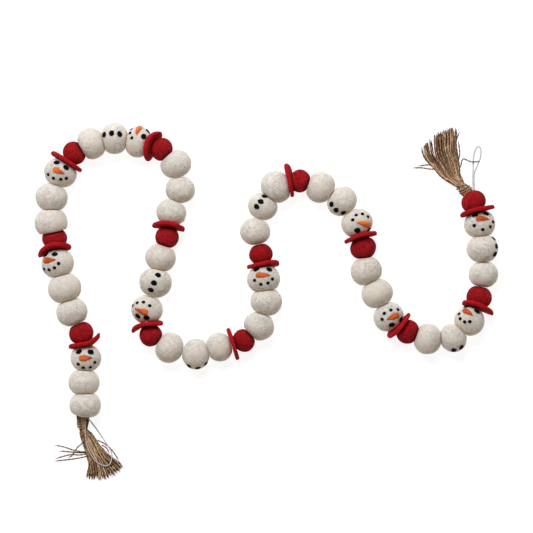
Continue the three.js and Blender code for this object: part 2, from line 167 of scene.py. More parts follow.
def wool_felt(name, wool, shaded_hollow, floor, cloud, cloud_share, relief, sheen, gloss, glow_through=0,
              tints=()):
    """wool is the colour on the fibres, and shaded_hollow the darker colour painted as shade
    between them and in the creases; floor is the height, below the fibres, at which shaded_hollow
    is reached. Each tint is a mesh attribute, the colour that it brings and its share where the
    attribute is 1."""
    material, tree = new_material(name)
    place = add_node(tree, "TexCoord", {}, {}).outputs["Object"]
    swirl = add_node(tree, "TexNoise", {"Scale": per_metre(SWIRL_SIZE), "Detail": 1.0},
                     {"Vector": place})
    centred = add_node(tree, "VectorMath", {"operation": "SUBTRACT", 1: (0.5, 0.5, 0.5)},
                       {0: swirl.outputs["Color"]})
    drag = add_node(tree, "VectorMath", {"operation": "SCALE", "Scale": 2 * SWIRL_REACH * MM},
                    {0: centred.outputs[0]})
    dragged = add_node(tree, "VectorMath", {"operation": "ADD"}, {0: place, 1: drag.outputs[0]})
    fibres = add_node(tree, "TexNoise",
                      {"Scale": per_metre(FIBRE_SIZE), "Detail": 4.0, "Roughness": 0.7,
                       "Distortion": 1.8}, {"Vector": dragged.outputs[0]})
    fibre_height = add_node(tree, "MapRange", FIBRE_RANGE, {"Value": fibres.outputs[0]})
    folds = add_node(tree, "TexNoise", {"Scale": per_metre(FOLD_SIZE), "Detail": 1.5,
                                        "Distortion": 0.6}, {"Vector": dragged.outputs[0]})
    from_middle = add_node(tree, "Math", {"operation": "SUBTRACT", 1: 0.5},
                           {0: folds.outputs[0]})
    from_fold = add_node(tree, "Math", {"operation": "ABSOLUTE"}, {0: from_middle.outputs[0]})
    fold_height = add_node(tree, "MapRange", {"interpolation_type": "SMOOTHSTEP"} | CREASE_RANGE,
                           {"Value": from_fold.outputs[0]})
    clouds = add_node(tree, "TexNoise", {"Scale": per_metre(CLOUD_SIZE), "Detail": 2.0},
                      {"Vector": place})
    # Creases fade out where the clouds are thick, so that none of them closes to a ring.
    fade = add_node(tree, "MapRange", FADE_RANGE, {"Value": clouds.outputs[0]})
    crease_height = add_node(tree, "Math", {"operation": "MAXIMUM"},
                             {0: fold_height.outputs[0], 1: fade.outputs[0]})
    height = add_node(tree, "Math", {"operation": "MULTIPLY_ADD", 1: FOLD_WEIGHT},
                      {0: crease_height.outputs[0], 2: fibre_height.outputs[0]})
    # Painted shade: the wool's colour darkens towards shaded_hollow between the fibres and in the
    # creases.
    share = add_node(tree, "MapRange", {"From Min": floor, "From Max": FULL_HEIGHT},
                     {"Value": height.outputs[0]})
    colour = add_node(tree, "Mix", {"data_type": "RGBA", MIX_A: linear(shaded_hollow),
                                    MIX_B: linear(wool)}, {0: share.outputs[0]})
    cloud_amount = add_node(tree, "MapRange", CLOUD_RANGE | {"To Max": cloud_share},
                            {"Value": clouds.outputs[0]})
    colour = add_node(tree, "Mix", {"data_type": "RGBA", MIX_B: linear(cloud)},
                      {0: cloud_amount.outputs[0], MIX_A: colour.outputs[MIX_RESULT]})
    for attribute, tint, most in tints:
        mark = add_node(tree, "Attribute", {"attribute_name": attribute}, {})
        amount = add_node(tree, "Math", {"operation": "MULTIPLY", 1: most},
                          {0: mark.outputs["Fac"]})
        colour = add_node(tree, "Mix", {"data_type": "RGBA", MIX_B: linear(tint)},
                          {0: amount.outputs[0], MIX_A: colour.outputs[MIX_RESULT]})
    bump = add_node(tree, "Bump", {"Strength": 0.8, "Distance": relief * MM},
                    {"Height": height.outputs[0]})
    shader = add_node(tree, "BsdfPrincipled",
                      {"Roughness": 0.92, "IOR": WOOL_IOR, "Specular IOR Level": gloss,
                       "Subsurface Weight": glow_through, "Subsurface Scale": SCATTER_REACH * MM,
                       "Subsurface Radius": (1, 0.9, 0.75),
                       "Sheen Weight": sheen, "Sheen Roughness": 0.6,
                       "Sheen Tint": linear(wool)},
                      {"Base Color": colour.outputs[MIX_RESULT], "Normal": bump.outputs[0]})
    finish_material(tree, shader)
    return material


# The crease tint is painted shade where two balls meet, on white wool and on red.
white_wool = wool_felt(
    "white_wool_wet_felted", wool="#F1EBE0", shaded_hollow="#84775F", floor=-0.6, cloud="#E2D5C0",
    cloud_share=0.4, relief=0.5, sheen=0.1, gloss=0.2, glow_through=0.8,
    tints=[("crease", "#E0B888", 0.6), ("blush", "#CF8F8B", 0.5)])
red_wool = wool_felt(
    "red_wool_wet_felted", wool="#C42026", shaded_hollow="#2A0306", floor=-0.1, cloud="#7A0F14",
    cloud_share=0.5, relief=0.8, sheen=0.05, gloss=0.08, tints=[("crease", "#1C0203", 0.85)])
red_sheet = wool_felt(
    "red_wool_pressed_felt", wool="#C41C24", shaded_hollow="#5C080D", floor=-0.6, cloud="#A3141B",
    cloud_share=0.4, relief=0.4, sheen=0.05, gloss=0.08)
black_wool = wool_felt(
    "black_wool_needle_felted", wool="#0E0B0A", shaded_hollow="#040303", floor=-0.6, cloud="#080707",
    cloud_share=0.5, relief=0.5, sheen=0, gloss=0.12)
print("Wool felts:", [m.name for m in (white_wool, red_wool, red_sheet, black_wool)])

# %% [markdown]
# ## Strand materials
#
# The nose is orange wool roving that was stabbed flat with a felting needle, so its fibres run
# along it. The tassels are undyed jute, a coarse bast fibre with a slight straw shine, pale along
# the backs of its yarns and brown in their depths and sides, which is partly its own colour and
# partly painted light and shade. The loops are thin twisted cotton. In all three the pattern has to
# run along the strand, whatever way that lies. So each mesh keeps an attribute, straight, that says
# where a point would be if its strand were pulled straight along Z. Noise that is squeezed along Z
# there becomes long fibres.

# %% Strand materials
CELLULOSE_IOR = 1.53


def strand_material(name, stops, fibre, stretch, relief, roughness, sheen, ior):
    """stops are the colours from the deepest fibre to the proudest, partly the fibres' own colour
    and partly painted shade in the depths; fibre is how many millimetres apart the fibres are and
    stretch how many times longer they are than that."""
    material, tree = new_material(name)
    straight = add_node(tree, "Attribute", {"attribute_name": "straight"}, {})
    squeezed = add_node(tree, "VectorMath", {"operation": "MULTIPLY", 1: (1, 1, 1 / stretch)},
                        {0: straight.outputs["Vector"]})
    fibres = add_node(tree, "TexNoise", {"Scale": per_metre(fibre), "Detail": 3.0,
                                         "Roughness": 0.6}, {"Vector": squeezed.outputs[0]})
    shade = add_node(tree, "Attribute", {"attribute_name": "shade"}, {})
    level = add_node(tree, "Math", {"operation": "ADD"},
                     {0: fibres.outputs[0], 1: shade.outputs["Fac"]})
    colours = add_node(tree, "ValToRGB", {}, {0: level.outputs[0]})
    ramp = colours.color_ramp
    for index, (position, hex_colour) in enumerate(stops):
        stop = ramp.elements[index] if index < 2 else ramp.elements.new(position)
        stop.position = position
        stop.color = linear(hex_colour)
    bump = add_node(tree, "Bump", {"Strength": 0.8, "Distance": relief * MM},
                    {"Height": fibres.outputs[0]})
    shader = add_node(tree, "BsdfPrincipled",
                      {"Roughness": roughness, "IOR": ior, "Specular IOR Level": 0.3,
                       "Sheen Weight": sheen, "Sheen Roughness": 0.5},
                      {"Base Color": colours.outputs[0], "Normal": bump.outputs[0]})
    finish_material(tree, shader)
    return material


orange_wool = strand_material(
    "orange_wool_needle_felted", [(0.3, "#A83F12"), (0.5, "#D05D20"), (0.7, "#EA7D32")],
    fibre=1.6, stretch=5, relief=0.4, roughness=0.9, sheen=0.1, ior=WOOL_IOR)
jute = strand_material(
    "undyed_twisted_jute",
    [(0.12, "#301A09"), (0.4, "#664225"), (0.6, "#99724D"), (0.76, "#E6C69E")],
    fibre=1.0, stretch=9, relief=0.3, roughness=0.7, sheen=0.1, ior=CELLULOSE_IOR)
cotton = strand_material(
    "grey_white_twisted_cotton", [(0.1, "#4E4C48"), (0.45, "#B2AFA8"), (0.62, "#EBE7DF")],
    fibre=0.5, stretch=6, relief=0.1, roughness=0.8, sheen=0.1, ior=CELLULOSE_IOR)
print("Strand materials:", [m.name for m in (orange_wool, jute, cotton)])

# %% [markdown]
# ## Pieces
#
# Every shape below is worked out in millimetres as plain arrays of points and faces, and one
# function turns them into a piece: it makes the mesh, shades it smooth, lets it ride on the
# garland's one body, and hides the plain solid that it stands for. Small things that repeat,
# such as strands, are gathered first and become one mesh.

# %% Mesh helpers
class Gathered:
    """Points and faces of many small forms that become one mesh, with their marks."""

    def __init__(self):
        self.points = []
        self.faces = []
        self.marks = {}
        self.count = 0

    def add(self, points, faces, **marks):
        self.points.extend(points)
        self.faces.extend([[corner + self.count for corner in face] for face in faces])
        for key, values in marks.items():
            self.marks.setdefault(key, []).extend(values)
        self.count += len(points)


def add_piece(name, gathered, material, replaces=()):
    mesh = bpy.data.meshes.new(name)
    points = np.array(gathered.points, float) * MM
    points[:, 2] = np.maximum(points[:, 2], 0)      # the table bears it
    mesh.from_pydata(points.tolist(), [], gathered.faces)
    for key, values in gathered.marks.items():
        values = np.array(values, np.float32)
        kind, field = ("FLOAT", "value") if values.ndim == 1 else ("FLOAT_VECTOR", "vector")
        mesh.attributes.new(key, kind, "POINT").data.foreach_set(field, values.ravel())
    mesh.materials.append(material)
    mesh.shade_smooth()
    piece = bpy.data.objects.new(name, mesh)
    bpy.context.collection.objects.link(piece)
    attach(piece, "root")
    if replaces:
        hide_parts(*replaces)
    return piece


def unit(vectors):
    vectors = np.array(vectors, float)
    return vectors / np.linalg.norm(vectors, axis=-1, keepdims=True)


UP = np.array([0.0, 0.0, 1.0])


def facing_vector(degrees):
    return np.array([math.cos(math.radians(degrees)), math.sin(math.radians(degrees)), 0.0])


def left_of(facing):
    return unit(np.cross(UP, facing))


def distances_along(line):
    """How far each point of the line is from its start."""
    return np.concatenate([[0], np.cumsum(np.linalg.norm(np.diff(line, axis=0), axis=1))])


def ring_faces(rings, columns, mirrored=False):
    """Square faces between rings of points that are numbered ring by ring. They look outwards
    where the points go round clockwise, seen from ring to ring, or if mirrored the other way."""
    faces = []
    for near in range(0, (rings - 1) * columns, columns):
        far = near + columns
        for column in range(columns):
            beside = (column + 1) % columns
            if mirrored:
                faces.append([near + column, far + column, far + beside, near + beside])
            else:
                faces.append([near + column, near + beside, far + beside, far + column])
    return faces


def tube_faces(rings, sides, mirrored=False):
    """The same, and a face over each end."""
    ends = [list(range(sides))[::-1], list(range((rings - 1) * sides, rings * sides))]
    if mirrored:
        ends = [end[::-1] for end in ends]
    return ends + ring_faces(rings, sides, mirrored)


def circle(count):
    """That many angles, all the way round."""
    return np.linspace(0, math.tau, count, endpoint=False)


# %% [markdown]
# ## String loops
#
# The garland's own string comes out at each end as a hanging loop. It is a soft cotton string
# of three plies, 1.2 mm thick, which lies where it fell: over the left tassel, and beside the
# right one. A swept circle would look like wire. So the section here has three lobes, and it
# turns as it goes along, which winds three plies round each other. The routes are the
# maker's, in millimetres, from where the string leaves the end ball to where it returns.

# %% String loops
STRING_DIAMETER = 1.2
STRING_FUZZ = 0.3     # mm of loose fibres that make it look thicker than it is
STRING_PLIES = 3
STRING_LAY = 5        # mm along the string for one turn of a ply
STRING_GROOVE = 0.28  # share of the radius that the lines between the plies are deep
STRING_SIDES = 12
STRING_SHADE, STRING_FLANK = 0.15, 0.8   # painted light on its back, and painted shade: how much darker its sides are
LOOP_ROUTES = {
    "loop_left": [
        (-236, -149.8, 19), (-236, -154, 18.4), (-236, -160, 16.8), (-236, -166, 14.8),
        (-235.8, -172, 12.8), (-235.6, -178, 11), (-234.6, -184, 9.6), (-232.4, -191, 8.7),
        (-228.8, -198.5, 8), (-224, -205.5, 7.6), (-218, -210, 7.4), (-212, -212.4, 7.4),
        (-207.6, -212.6, 7.4), (-204.4, -210.4, 7.4), (-202.6, -206, 7.5),
        (-201.9, -201.6, 7.6), (-201.9, -197.6, 6.2), (-203.2, -193.6, 3.4),
        (-205.2, -190.2, 2.6), (-207.3, -186.8, 2.7), (-210.2, -182.2, 2.1),
        (-214.6, -175.8, 0.8), (-218.8, -169.6, 0.8), (-222.6, -164, 2.6),
        (-225.6, -159.8, 6.6), (-227.8, -156.4, 11.4), (-229.2, -154.2, 15.4),
        (-230.6, -152.2, 18.3), (-232.6, -150.1, 19.3),
    ],
    "loop_right": [
        (268.6, 146.6, 18.6), (268.6, 149.6, 17.2), (268.7, 154, 13.4), (268.9, 159, 8.6),
        (269.2, 164.4, 4.2), (269.6, 169.6, 1.4), (269.9, 175.6, 0.7), (269.8, 182.4, 0.7),
        (270.2, 189.2, 0.7), (271.6, 196, 0.7), (273.4, 201, 0.7), (276, 203.8, 0.7),
        (278.4, 203, 0.7), (279.8, 199, 0.7), (279.8, 193.4, 0.7), (278.8, 188, 0.7),
        (277, 183, 0.7), (274.8, 177.6, 0.7), (272.6, 173, 0.7), (271.5, 168.6, 1.6),
        (271, 164.2, 4.2), (270.7, 159, 8.6), (270.5, 154, 13.4), (270.3, 149.6, 17.2),
        (270.2, 146.6, 18.6),
    ],
}
CURVE_STEPS = 8       # steps from one point of a route to the next


def smooth_line(points, spacing):
    """Points about spacing apart on a smooth curve through the given ones, which is a
    centripetal Catmull-Rom curve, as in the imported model."""
    points = np.array(points, float)
    knots = np.vstack([2 * points[0] - points[1], points, 2 * points[-1] - points[-2]])
    pieces = []
    for p0, p1, p2, p3 in zip(knots, knots[1:], knots[2:], knots[3:]):
        t1 = math.sqrt(np.linalg.norm(p1 - p0))
        t2 = t1 + math.sqrt(np.linalg.norm(p2 - p1))
        t3 = t2 + math.sqrt(np.linalg.norm(p3 - p2))
        t = np.linspace(t1, t2, CURVE_STEPS, endpoint=False)[:, None]
        a1 = (t1 - t) / t1 * p0 + t / t1 * p1
        a2 = (t2 - t) / (t2 - t1) * p1 + (t - t1) / (t2 - t1) * p2
        a3 = (t3 - t) / (t3 - t2) * p2 + (t - t2) / (t3 - t2) * p3
        b1 = (t2 - t) / t2 * a1 + t / t2 * a2
        b2 = (t3 - t) / (t3 - t1) * a2 + (t - t1) / (t3 - t1) * a3
        pieces.append((t2 - t) / (t2 - t1) * b1 + (t - t1) / (t2 - t1) * b2)
    fine = np.vstack([*pieces, points[-1:]])
    along = distances_along(fine)
    even = np.linspace(0, along[-1], max(2, round(along[-1] / spacing) + 1))
    return np.stack([np.interp(even, along, fine[:, k]) for k in range(3)], axis=1)


PATTERN_SHIFT = 50    # mm aside for each radian of start, so that no two strands look alike


def sweep(line, radius, sides, plies, lay, groove, start=0.0, shift=0.0, axes=None):
    """A strand along the line: its points, faces and straight marks. It has that many plies,
    each of which goes round once in lay millimetres from the angle start on, and groove is the
    share of the radius that the lines between them are deep. shift moves its pattern aside. The
    section stands level, or has the two axes that are given, which are then mirrored ones."""
    mirrored = axes is not None
    if not mirrored:
        ahead = unit(np.gradient(line, axis=0))
        across = left_of(ahead)
        axes = across, np.cross(ahead, across)
    along = distances_along(line)[:, None]
    angle = circle(sides)[None, :]
    from_ply = angle - (math.tau * along / lay + start)
    lobe = 1 - groove * (0.5 - 0.5 * np.cos(plies * from_ply))
    out = np.broadcast_to(radius, len(line))[:, None] * lobe
    x, y = out * np.cos(angle), out * np.sin(angle)
    points = (line[:, None, :] + x[..., None] * axes[0][:, None, :]
              + y[..., None] * axes[1][:, None, :])
    # The plies carry their fibres round with them, so the pattern is unwound by their turn.
    straight = np.stack([out * np.cos(from_ply) + shift, out * np.sin(from_ply),
                         np.broadcast_to(along, out.shape)], axis=-1)
    faces = tube_faces(len(line), sides, mirrored)
    return points.reshape(-1, 3), faces, straight.reshape(-1, 3) * MM


def flank_shades(sides, rings, shade, flank):
    """Painted shade and light: a strand is darker low on its sides and lighter along its back,
    which faces up. flank says how much darker its sides are than its back."""
    height = np.sin(circle(sides))
    return np.tile(shade - flank * (1 - np.maximum(0, height)), rings)


for name, route in LOOP_ROUTES.items():
    line = smooth_line(route, spacing=STRING_LAY / 10)
    points, faces, straight = sweep(line, STRING_DIAMETER / 2 + STRING_FUZZ, STRING_SIDES,
                                    STRING_PLIES, STRING_LAY, STRING_GROOVE)
    shades = flank_shades(STRING_SIDES, len(line), STRING_SHADE, STRING_FLANK)
    loop = Gathered()
    loop.add(points, faces, straight=straight, shade=shades)
    piece = add_piece(name + "_string", loop, cotton, replaces=[name])
    print(f"{name}: {distances_along(line)[-1]:.1f} mm of string")

# %% [markdown]
# ## The balls
#
# A felt ball is firm but not hard. Threaded tightly, the balls flatten against each other and
# meet in a sharp crease. Each one starts as a sphere with even square faces, made from a cube,
# because a globe of longitudes would gather its faces in two poles. Each of its points then
# moves out from the centre to where the wool ends in that direction. That is the smallest of
# three reaches: the free ball, the wall towards the last ball and the wall towards the next.
# The smallest is taken softly, so that the rim of a contact is rounded as felt is.
#
# A ball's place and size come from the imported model: its highest point is over its centre.

# %% A sphere of even squares
BALL_CUTS = 25


def even_sphere(cuts):
    """The directions and faces of a cube that is blown up to a sphere."""
    cube = bmesh.new()
    bmesh.ops.create_cube(cube, size=2)
    bmesh.ops.subdivide_edges(cube, edges=cube.edges[:], cuts=cuts, use_grid_fill=True)
    bmesh.ops.recalc_face_normals(cube, faces=cube.faces[:])
    cube.verts.index_update()
    flat = np.array([vert.co for vert in cube.verts])
    faces = [[vert.index for vert in face.verts] for face in cube.faces]
    cube.free()
    return unit(np.tan(flat * math.pi / 4)), faces


DIRECTIONS, SPHERE_FACES = even_sphere(BALL_CUTS)
print(f"A ball has {len(SPHERE_FACES)} square faces")

# %% How felt balls press on each other
GAP = 0.1               # mm left between pieces that press on each other
BRIM_GAP = 0.3          # mm between a head and its brim
BRIM_JOIN = 1.3         # mm that a crown is sewn down into its brim
BALL_SETTLE = 0.5       # mm that a ball's weight flattens its underside
LEAST_REACH = 0.92      # shares of the radius that a ball reaches along the string
MOST_REACH = 1.06
PRESS_SHARPNESS = 30
FIRST_END_PRESS = 0.76  # shares of the radius at which the end balls stop at their tassels
LAST_END_PRESS = 0.84
END_DOME = 1.25         # half the width of the domed wall there, in shares of the radius
STRING_HEIGHT = 19.5    # mm
FIRST_END_FACING = -98  # degrees from +X, to the left tassel and to the right one
LAST_END_FACING = 124
LUMP_SIZE, LUMP_HEIGHT = 13, 0.6      # mm
DENT_SIZE, DENT_DEPTH = 4.5, 0.22     # mm
DENT_SHARPNESS = 5                    # how narrow a dent is beside its spacing
DENT_SHIFT = 7.3                      # keeps the dents' noise apart from the lumps'


class Ball:
    def __init__(self, centre, radius):
        self.centre = np.array(centre, float)
        self.radius = radius
        self.back = None     # (way to the last piece, wall), and the same to the next one
        # whether painted contact shade goes there: none goes beside a tassel's soft knot
        self.ahead = None
        self.marked = [True, True]   # whether a crease shows there: a soft knot leaves none


def packed_ball(node):
    top = max((vertex.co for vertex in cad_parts[node].data.vertices), key=lambda co: co.z)
    x, y, z = (coordinate / MM for coordinate in top)
    radius = (z + BALL_SETTLE) / 2
    return Ball((x, y, radius - BALL_SETTLE), radius)


def flat_wall(normal, distance):
    def wall(directions):
        towards = directions @ normal
        return np.where(towards > 1e-6, distance / np.maximum(towards, 1e-6), np.inf)
    return wall


def press_together(first, second):
    between = second.centre - first.centre
    way = unit(between)
    distance = np.linalg.norm(between)
    share = first.radius / (first.radius + second.radius)
    first.ahead = (way, flat_wall(way, distance * share - GAP / 2))
    second.back = (-way, flat_wall(-way, distance * (1 - share) - GAP / 2))


def end_press(ball, degrees, press):
    """The way to a tassel, and a slightly domed wall there: a knot of yarn is soft itself."""
    way = facing_vector(degrees)

    def wall(directions):
        towards = directions @ way
        across = np.sqrt(np.maximum(0, 1 - towards ** 2))
        dome = 1 / np.hypot(across / (END_DOME * ball.radius), towards / (press * ball.radius))
        return np.where(towards > 1e-6, dome, np.inf)
    return way, wall


def sample_noise(points, size, shift=0.0):
    """Perlin noise of about -1 to 1 at each point, with marks of that size."""
    aside = Vector((shift, shift, shift))
    return np.array([noise.noise(Vector(point) / size + aside) for point in points])


def reach(ball, directions):
    """How far the wool goes from the ball's centre in each direction, and its share of the way
    to each wall."""
    axis = unit(ball.ahead[0] - ball.back[0])
    radius = ball.radius

    def towards(way, wall):
        share = MOST_REACH * wall(way[None, :])[0] / radius
        return radius * np.clip(share, LEAST_REACH, MOST_REACH)

    along = directions @ axis
    across = np.sqrt(np.maximum(0, 1 - along * along))
    stretch = np.where(along > 0, towards(*ball.ahead), towards(*ball.back))
    free = 1 / np.hypot(across / radius, along / stretch)
    skin = ball.centre + directions * radius
    dents = (1 - np.abs(sample_noise(skin, DENT_SIZE, DENT_SHIFT))) ** DENT_SHARPNESS
    free = free + LUMP_HEIGHT * sample_noise(skin, LUMP_SIZE) - DENT_DEPTH * dents
    walls = [ball.back[1](directions), ball.ahead[1](directions)]
    pressed = sum(limit ** -PRESS_SHARPNESS for limit in [free, *walls])
    return pressed ** (-1 / PRESS_SHARPNESS), walls


# %% [markdown]
# ## The hats
#
# A brim is a disc cut from pressed felt of about 5 mm. It is threaded on upright between the
# head and the crown, and most of them have bent a little on the way. curl is how far its left
# and right edges come towards the crown, and lean how far its top edge does at the left and at
# the right. The crown is a smaller ball that is sewn down to it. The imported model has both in
# one node, where they can't be told apart, so their sizes are written here again, with the
# bends as a closer look at the photograph gave them. The brim is a section with a rounded edge
# that is turned round its middle. Shallow noise keeps the cut edge uneven.

# %% Hats
HATS = [
    {"brim": (-236, -54.5, 43), "facing": 100, "curl": (0.8, 10), "lean": (2.6, 0.8),
     "thick": 5.5, "crown": (-241, -39.5, 32.5)},
    {"brim": (-276, 72, 44), "facing": 97, "curl": (-8.5, -2), "lean": (3.4, 4.1),
     "thick": 5.8, "crown": (-275.5, 83.5, 32.5)},
    {"brim": (-260, 183.5, 46), "facing": 58, "curl": (0, 0), "lean": (2.2, 1),
     "thick": 5.2, "crown": (-250, 194.5, 32)},
    {"brim": (-150.5, 204.5, 41), "facing": -17, "curl": (6, 1.6), "lean": (-7.4, -4.3),
     "thick": 5.9, "crown": (-136, 199.5, 30.5)},
    {"brim": (-127, 100.5, 43), "facing": -98, "curl": (2.8, 3), "lean": (-2.6, -3.4),
     "thick": 5.4, "crown": (-129.5, 85, 31)},
    {"brim": (-155.7, -27.3, 42.5), "facing": -81, "curl": (2.5, 6.6), "lean": (2.3, -2.6),
     "thick": 5.2, "crown": (-150, -42.8, 30)},
    {"brim": (-43.5, -53.5, 43.5), "facing": 17, "curl": (-0.8, 0), "lean": (1, 0),
     "thick": 5.1, "crown": (-30, -49, 31)},
    {"brim": (-4.5, 49.5, 42.5), "facing": 97, "curl": (-0.6, -0.3), "lean": (0, 4.5),
     "thick": 5.4, "crown": (-7.5, 63, 31.5)},
    {"brim": (31, 159.5, 44), "facing": 9, "curl": (-2.2, -1), "lean": (-4.4, 0),
     "thick": 5.0, "crown": (43.3, 158.5, 30.5)},
    {"brim": (122, 86.5, 44), "facing": -74, "curl": (2, 2), "lean": (-2, -1),
     "thick": 5.1, "crown": (125.5, 71.5, 34)},
    {"brim": (172.5, -30, 42), "facing": -43, "curl": (-1, -0.8), "lean": (0, 4),
     "thick": 5.1, "crown": (183.5, -37.5, 32)},
    {"brim": (275, -5, 43.5), "facing": 72, "curl": (-1, -3), "lean": (4.2, 1.5),
     "thick": 5.3, "crown": (276, 7, 33.5)},
    {"brim": (273.5, 120, 46), "facing": 105, "curl": (-1, -1), "lean": (2.8, 0.6),
     "thick": 5.1, "crown": (269, 131.5, 32.5)},
]
BRIM_STAND = math.cos(math.pi / 18)   # share of the radius that a brim's middle is up
BRIM_COLUMNS = 96
RIM_ROWS = 11
FLAT_ROWS = 6
EDGE_SIZE = 7                         # mm between the lumps of the felt
FACE_LUMP, RIM_LUMP = 0.4, 0.9        # mm
EDGE_POWER = 0.75                     # 1 for a round edge, and less for a squarer one
HALVINGS = 18                         # enough to find a wall to a thousandth of a millimetre


class Brim:
    def __init__(self, hat):
        x, y, diameter = hat["brim"]
        self.radius = diameter / 2
        self.centre = np.array([x, y, self.radius * BRIM_STAND])
        self.facing = facing_vector(hat["facing"])
        self.left = left_of(self.facing)
        self.curl = hat["curl"]
        self.lean = hat["lean"]
        self.thick = hat["thick"]

    def bend(self, across, upward):
        """How far the felt is bent towards the crown at a place on the disc."""
        edge = np.where(across > 0, *self.curl)
        left_share = (1 + across / self.radius) / 2
        slant = self.lean[1] + (self.lean[0] - self.lean[1]) * left_share
        return edge * (across / self.radius) ** 2 + slant * upward / self.radius

    def slope(self, across):
        """How steeply the curl runs forward there. The felt is as thick on a slope."""
        return 2 * np.where(across > 0, *self.curl) * across / self.radius ** 2


def brim_wall(brim, centre, side, clearance):
    """The wall that the brim is to a ball on its head side (-1) or its crown side (1), found by
    halving the steps."""
    def inside(directions, distances):
        offset = centre + directions * distances[:, None] - brim.centre
        ahead = offset @ brim.facing - brim.bend(offset @ brim.left, offset[:, 2])
        return side * ahead > brim.thick / 2 + clearance

    def wall(directions):
        near = np.zeros(len(directions))
        far = np.full(len(directions), 2 * brim.radius)
        free = inside(directions, far)
        for _ in range(HALVINGS):
            half = (near + far) / 2
            still_inside = inside(directions, half)
            near = np.where(still_inside, half, near)
            far = np.where(still_inside, far, half)
        return np.where(free, np.inf, near)
    return wall


def brim_form(brim):
    """The points and faces of a bent disc with a rounded edge."""
    half = brim.thick / 2
    flat = np.linspace(0, brim.radius - half, FLAT_ROWS, endpoint=False)[1:]
    swing = np.linspace(math.pi / 2, -math.pi / 2, RIM_ROWS)
    rim_radius = brim.radius - half + half * np.abs(np.cos(swing)) ** EDGE_POWER
    rim_side = half * np.sign(np.sin(swing)) * np.abs(np.sin(swing)) ** EDGE_POWER
    radius = np.concatenate([flat, rim_radius, flat[::-1]])
    side = np.concatenate([np.full(len(flat), half), rim_side, np.full(len(flat), -half)])
    out = np.concatenate([np.zeros(len(flat)), np.cos(swing), np.zeros(len(flat))])
    up = np.concatenate([np.ones(len(flat)), np.sin(swing), -np.ones(len(flat))])
    around = circle(BRIM_COLUMNS)
    rows = len(radius)

    def on_disc(radius, side, around):
        across, upward = radius * np.cos(around), radius * np.sin(around)
        forward = brim.bend(across, upward) + side * np.hypot(1, brim.slope(across))
        return (brim.centre + across[..., None] * brim.left + upward[..., None] * UP
                + forward[..., None] * brim.facing)

    place = on_disc(radius[:, None], side[:, None], around[None, :]).reshape(-1, 3)
    swell = sample_noise(place, EDGE_SIZE).reshape(rows, BRIM_COLUMNS)
    points = on_disc(radius[:, None] + RIM_LUMP * swell * out[:, None],
                     side[:, None] + FACE_LUMP * swell * up[:, None],
                     around[None, :]).reshape(-1, 3)
    middles = [on_disc(np.zeros(1), np.array([s]), np.zeros(1))[0] for s in (half, -half)]
    points = np.vstack([points, middles])
    first, last = rows * BRIM_COLUMNS, (rows - 1) * BRIM_COLUMNS
    faces = ring_faces(rows, BRIM_COLUMNS, mirrored=True)
    for column in range(BRIM_COLUMNS):
        beside = (column + 1) % BRIM_COLUMNS
        faces.append([first, column, beside])
        faces.append([first + 1, last + beside, last + column])
    return points, faces


# %% Thread the snowmen
snowmen = []
for number, hat in enumerate(HATS, start=1):
    name = f"snowman_{number:02d}"
    base, middle, head = (packed_ball(f"{name}_{part}") for part in ("base", "middle", "head"))
    brim = Brim(hat)
    x, y, diameter = hat["crown"]
    crown = Ball((x, y, STRING_HEIGHT), diameter / 2)
    press_together(base, middle)
    press_together(middle, head)
    head.ahead = (unit(brim.centre - head.centre), brim_wall(brim, head.centre, -1, BRIM_GAP))
    crown.back = (unit(brim.centre - crown.centre), brim_wall(brim, crown.centre, 1, -BRIM_JOIN))
    if snowmen:
        press_together(snowmen[-1]["crown"], base)
    snowmen.append({"name": name, "base": base, "middle": middle, "head": head, "brim": brim,
                    "crown": crown})
snowmen[0]["base"].back = end_press(snowmen[0]["base"], FIRST_END_FACING, FIRST_END_PRESS)
snowmen[-1]["crown"].ahead = end_press(snowmen[-1]["crown"], LAST_END_FACING, LAST_END_PRESS)
snowmen[0]["base"].marked[0] = False
snowmen[-1]["crown"].marked[1] = False
print(f"{len(snowmen)} snowmen, of {4 * len(snowmen)} balls and {len(snowmen)} brims")

# %% [markdown]
# ## Painted contact shade and blush
#
# Where two balls meet, the shade in the tight contact is painted on: a thin tan line on white wool
# and a wider, near black one on red wool. Next to the red felt the white has a faint pink blush.
# Both are marks on the mesh, from 0 to 1, which the wool's material turns into colour. Each falls
# off with the distance from the neighbour's wall.

# %% Build the balls and the brims
CONTACT_SHADE_WIDTH = 0.9        # mm of painted shade on white wool
RED_CONTACT_SHADE_WIDTH = 2.4    # mm of painted shade on red wool, wider and darker than on white
BLUSH_WIDTH = 2.2         # mm
FAR_OFF = 1000            # mm, where there is no wall to measure from
LEAST_SLANT = 0.5         # the distance to a wall isn't measured flatter than that


def ball_form(ball, red_sides, contact_shade_width=CONTACT_SHADE_WIDTH):
    """A ball's points and its marks. red_sides says which of its two neighbours are red."""
    out, walls = reach(ball, DIRECTIONS)
    points = ball.centre + DIRECTIONS * out[:, None]
    crease = np.zeros(len(points))
    blush = np.zeros(len(points))
    for (way, _), wall, is_red, is_marked in zip((ball.back, ball.ahead), walls, red_sides,
                                                 ball.marked):
        if not is_marked:
            continue
        slant = np.maximum(DIRECTIONS @ way, LEAST_SLANT)
        depth = np.where(np.isfinite(wall), (wall - out) * slant, FAR_OFF)
        crease = np.maximum(crease, np.exp(-(depth / contact_shade_width) ** 2))
        if is_red:
            blush = np.maximum(blush, np.exp(-depth / BLUSH_WIDTH))
    return points, {"crease": crease, "blush": blush}


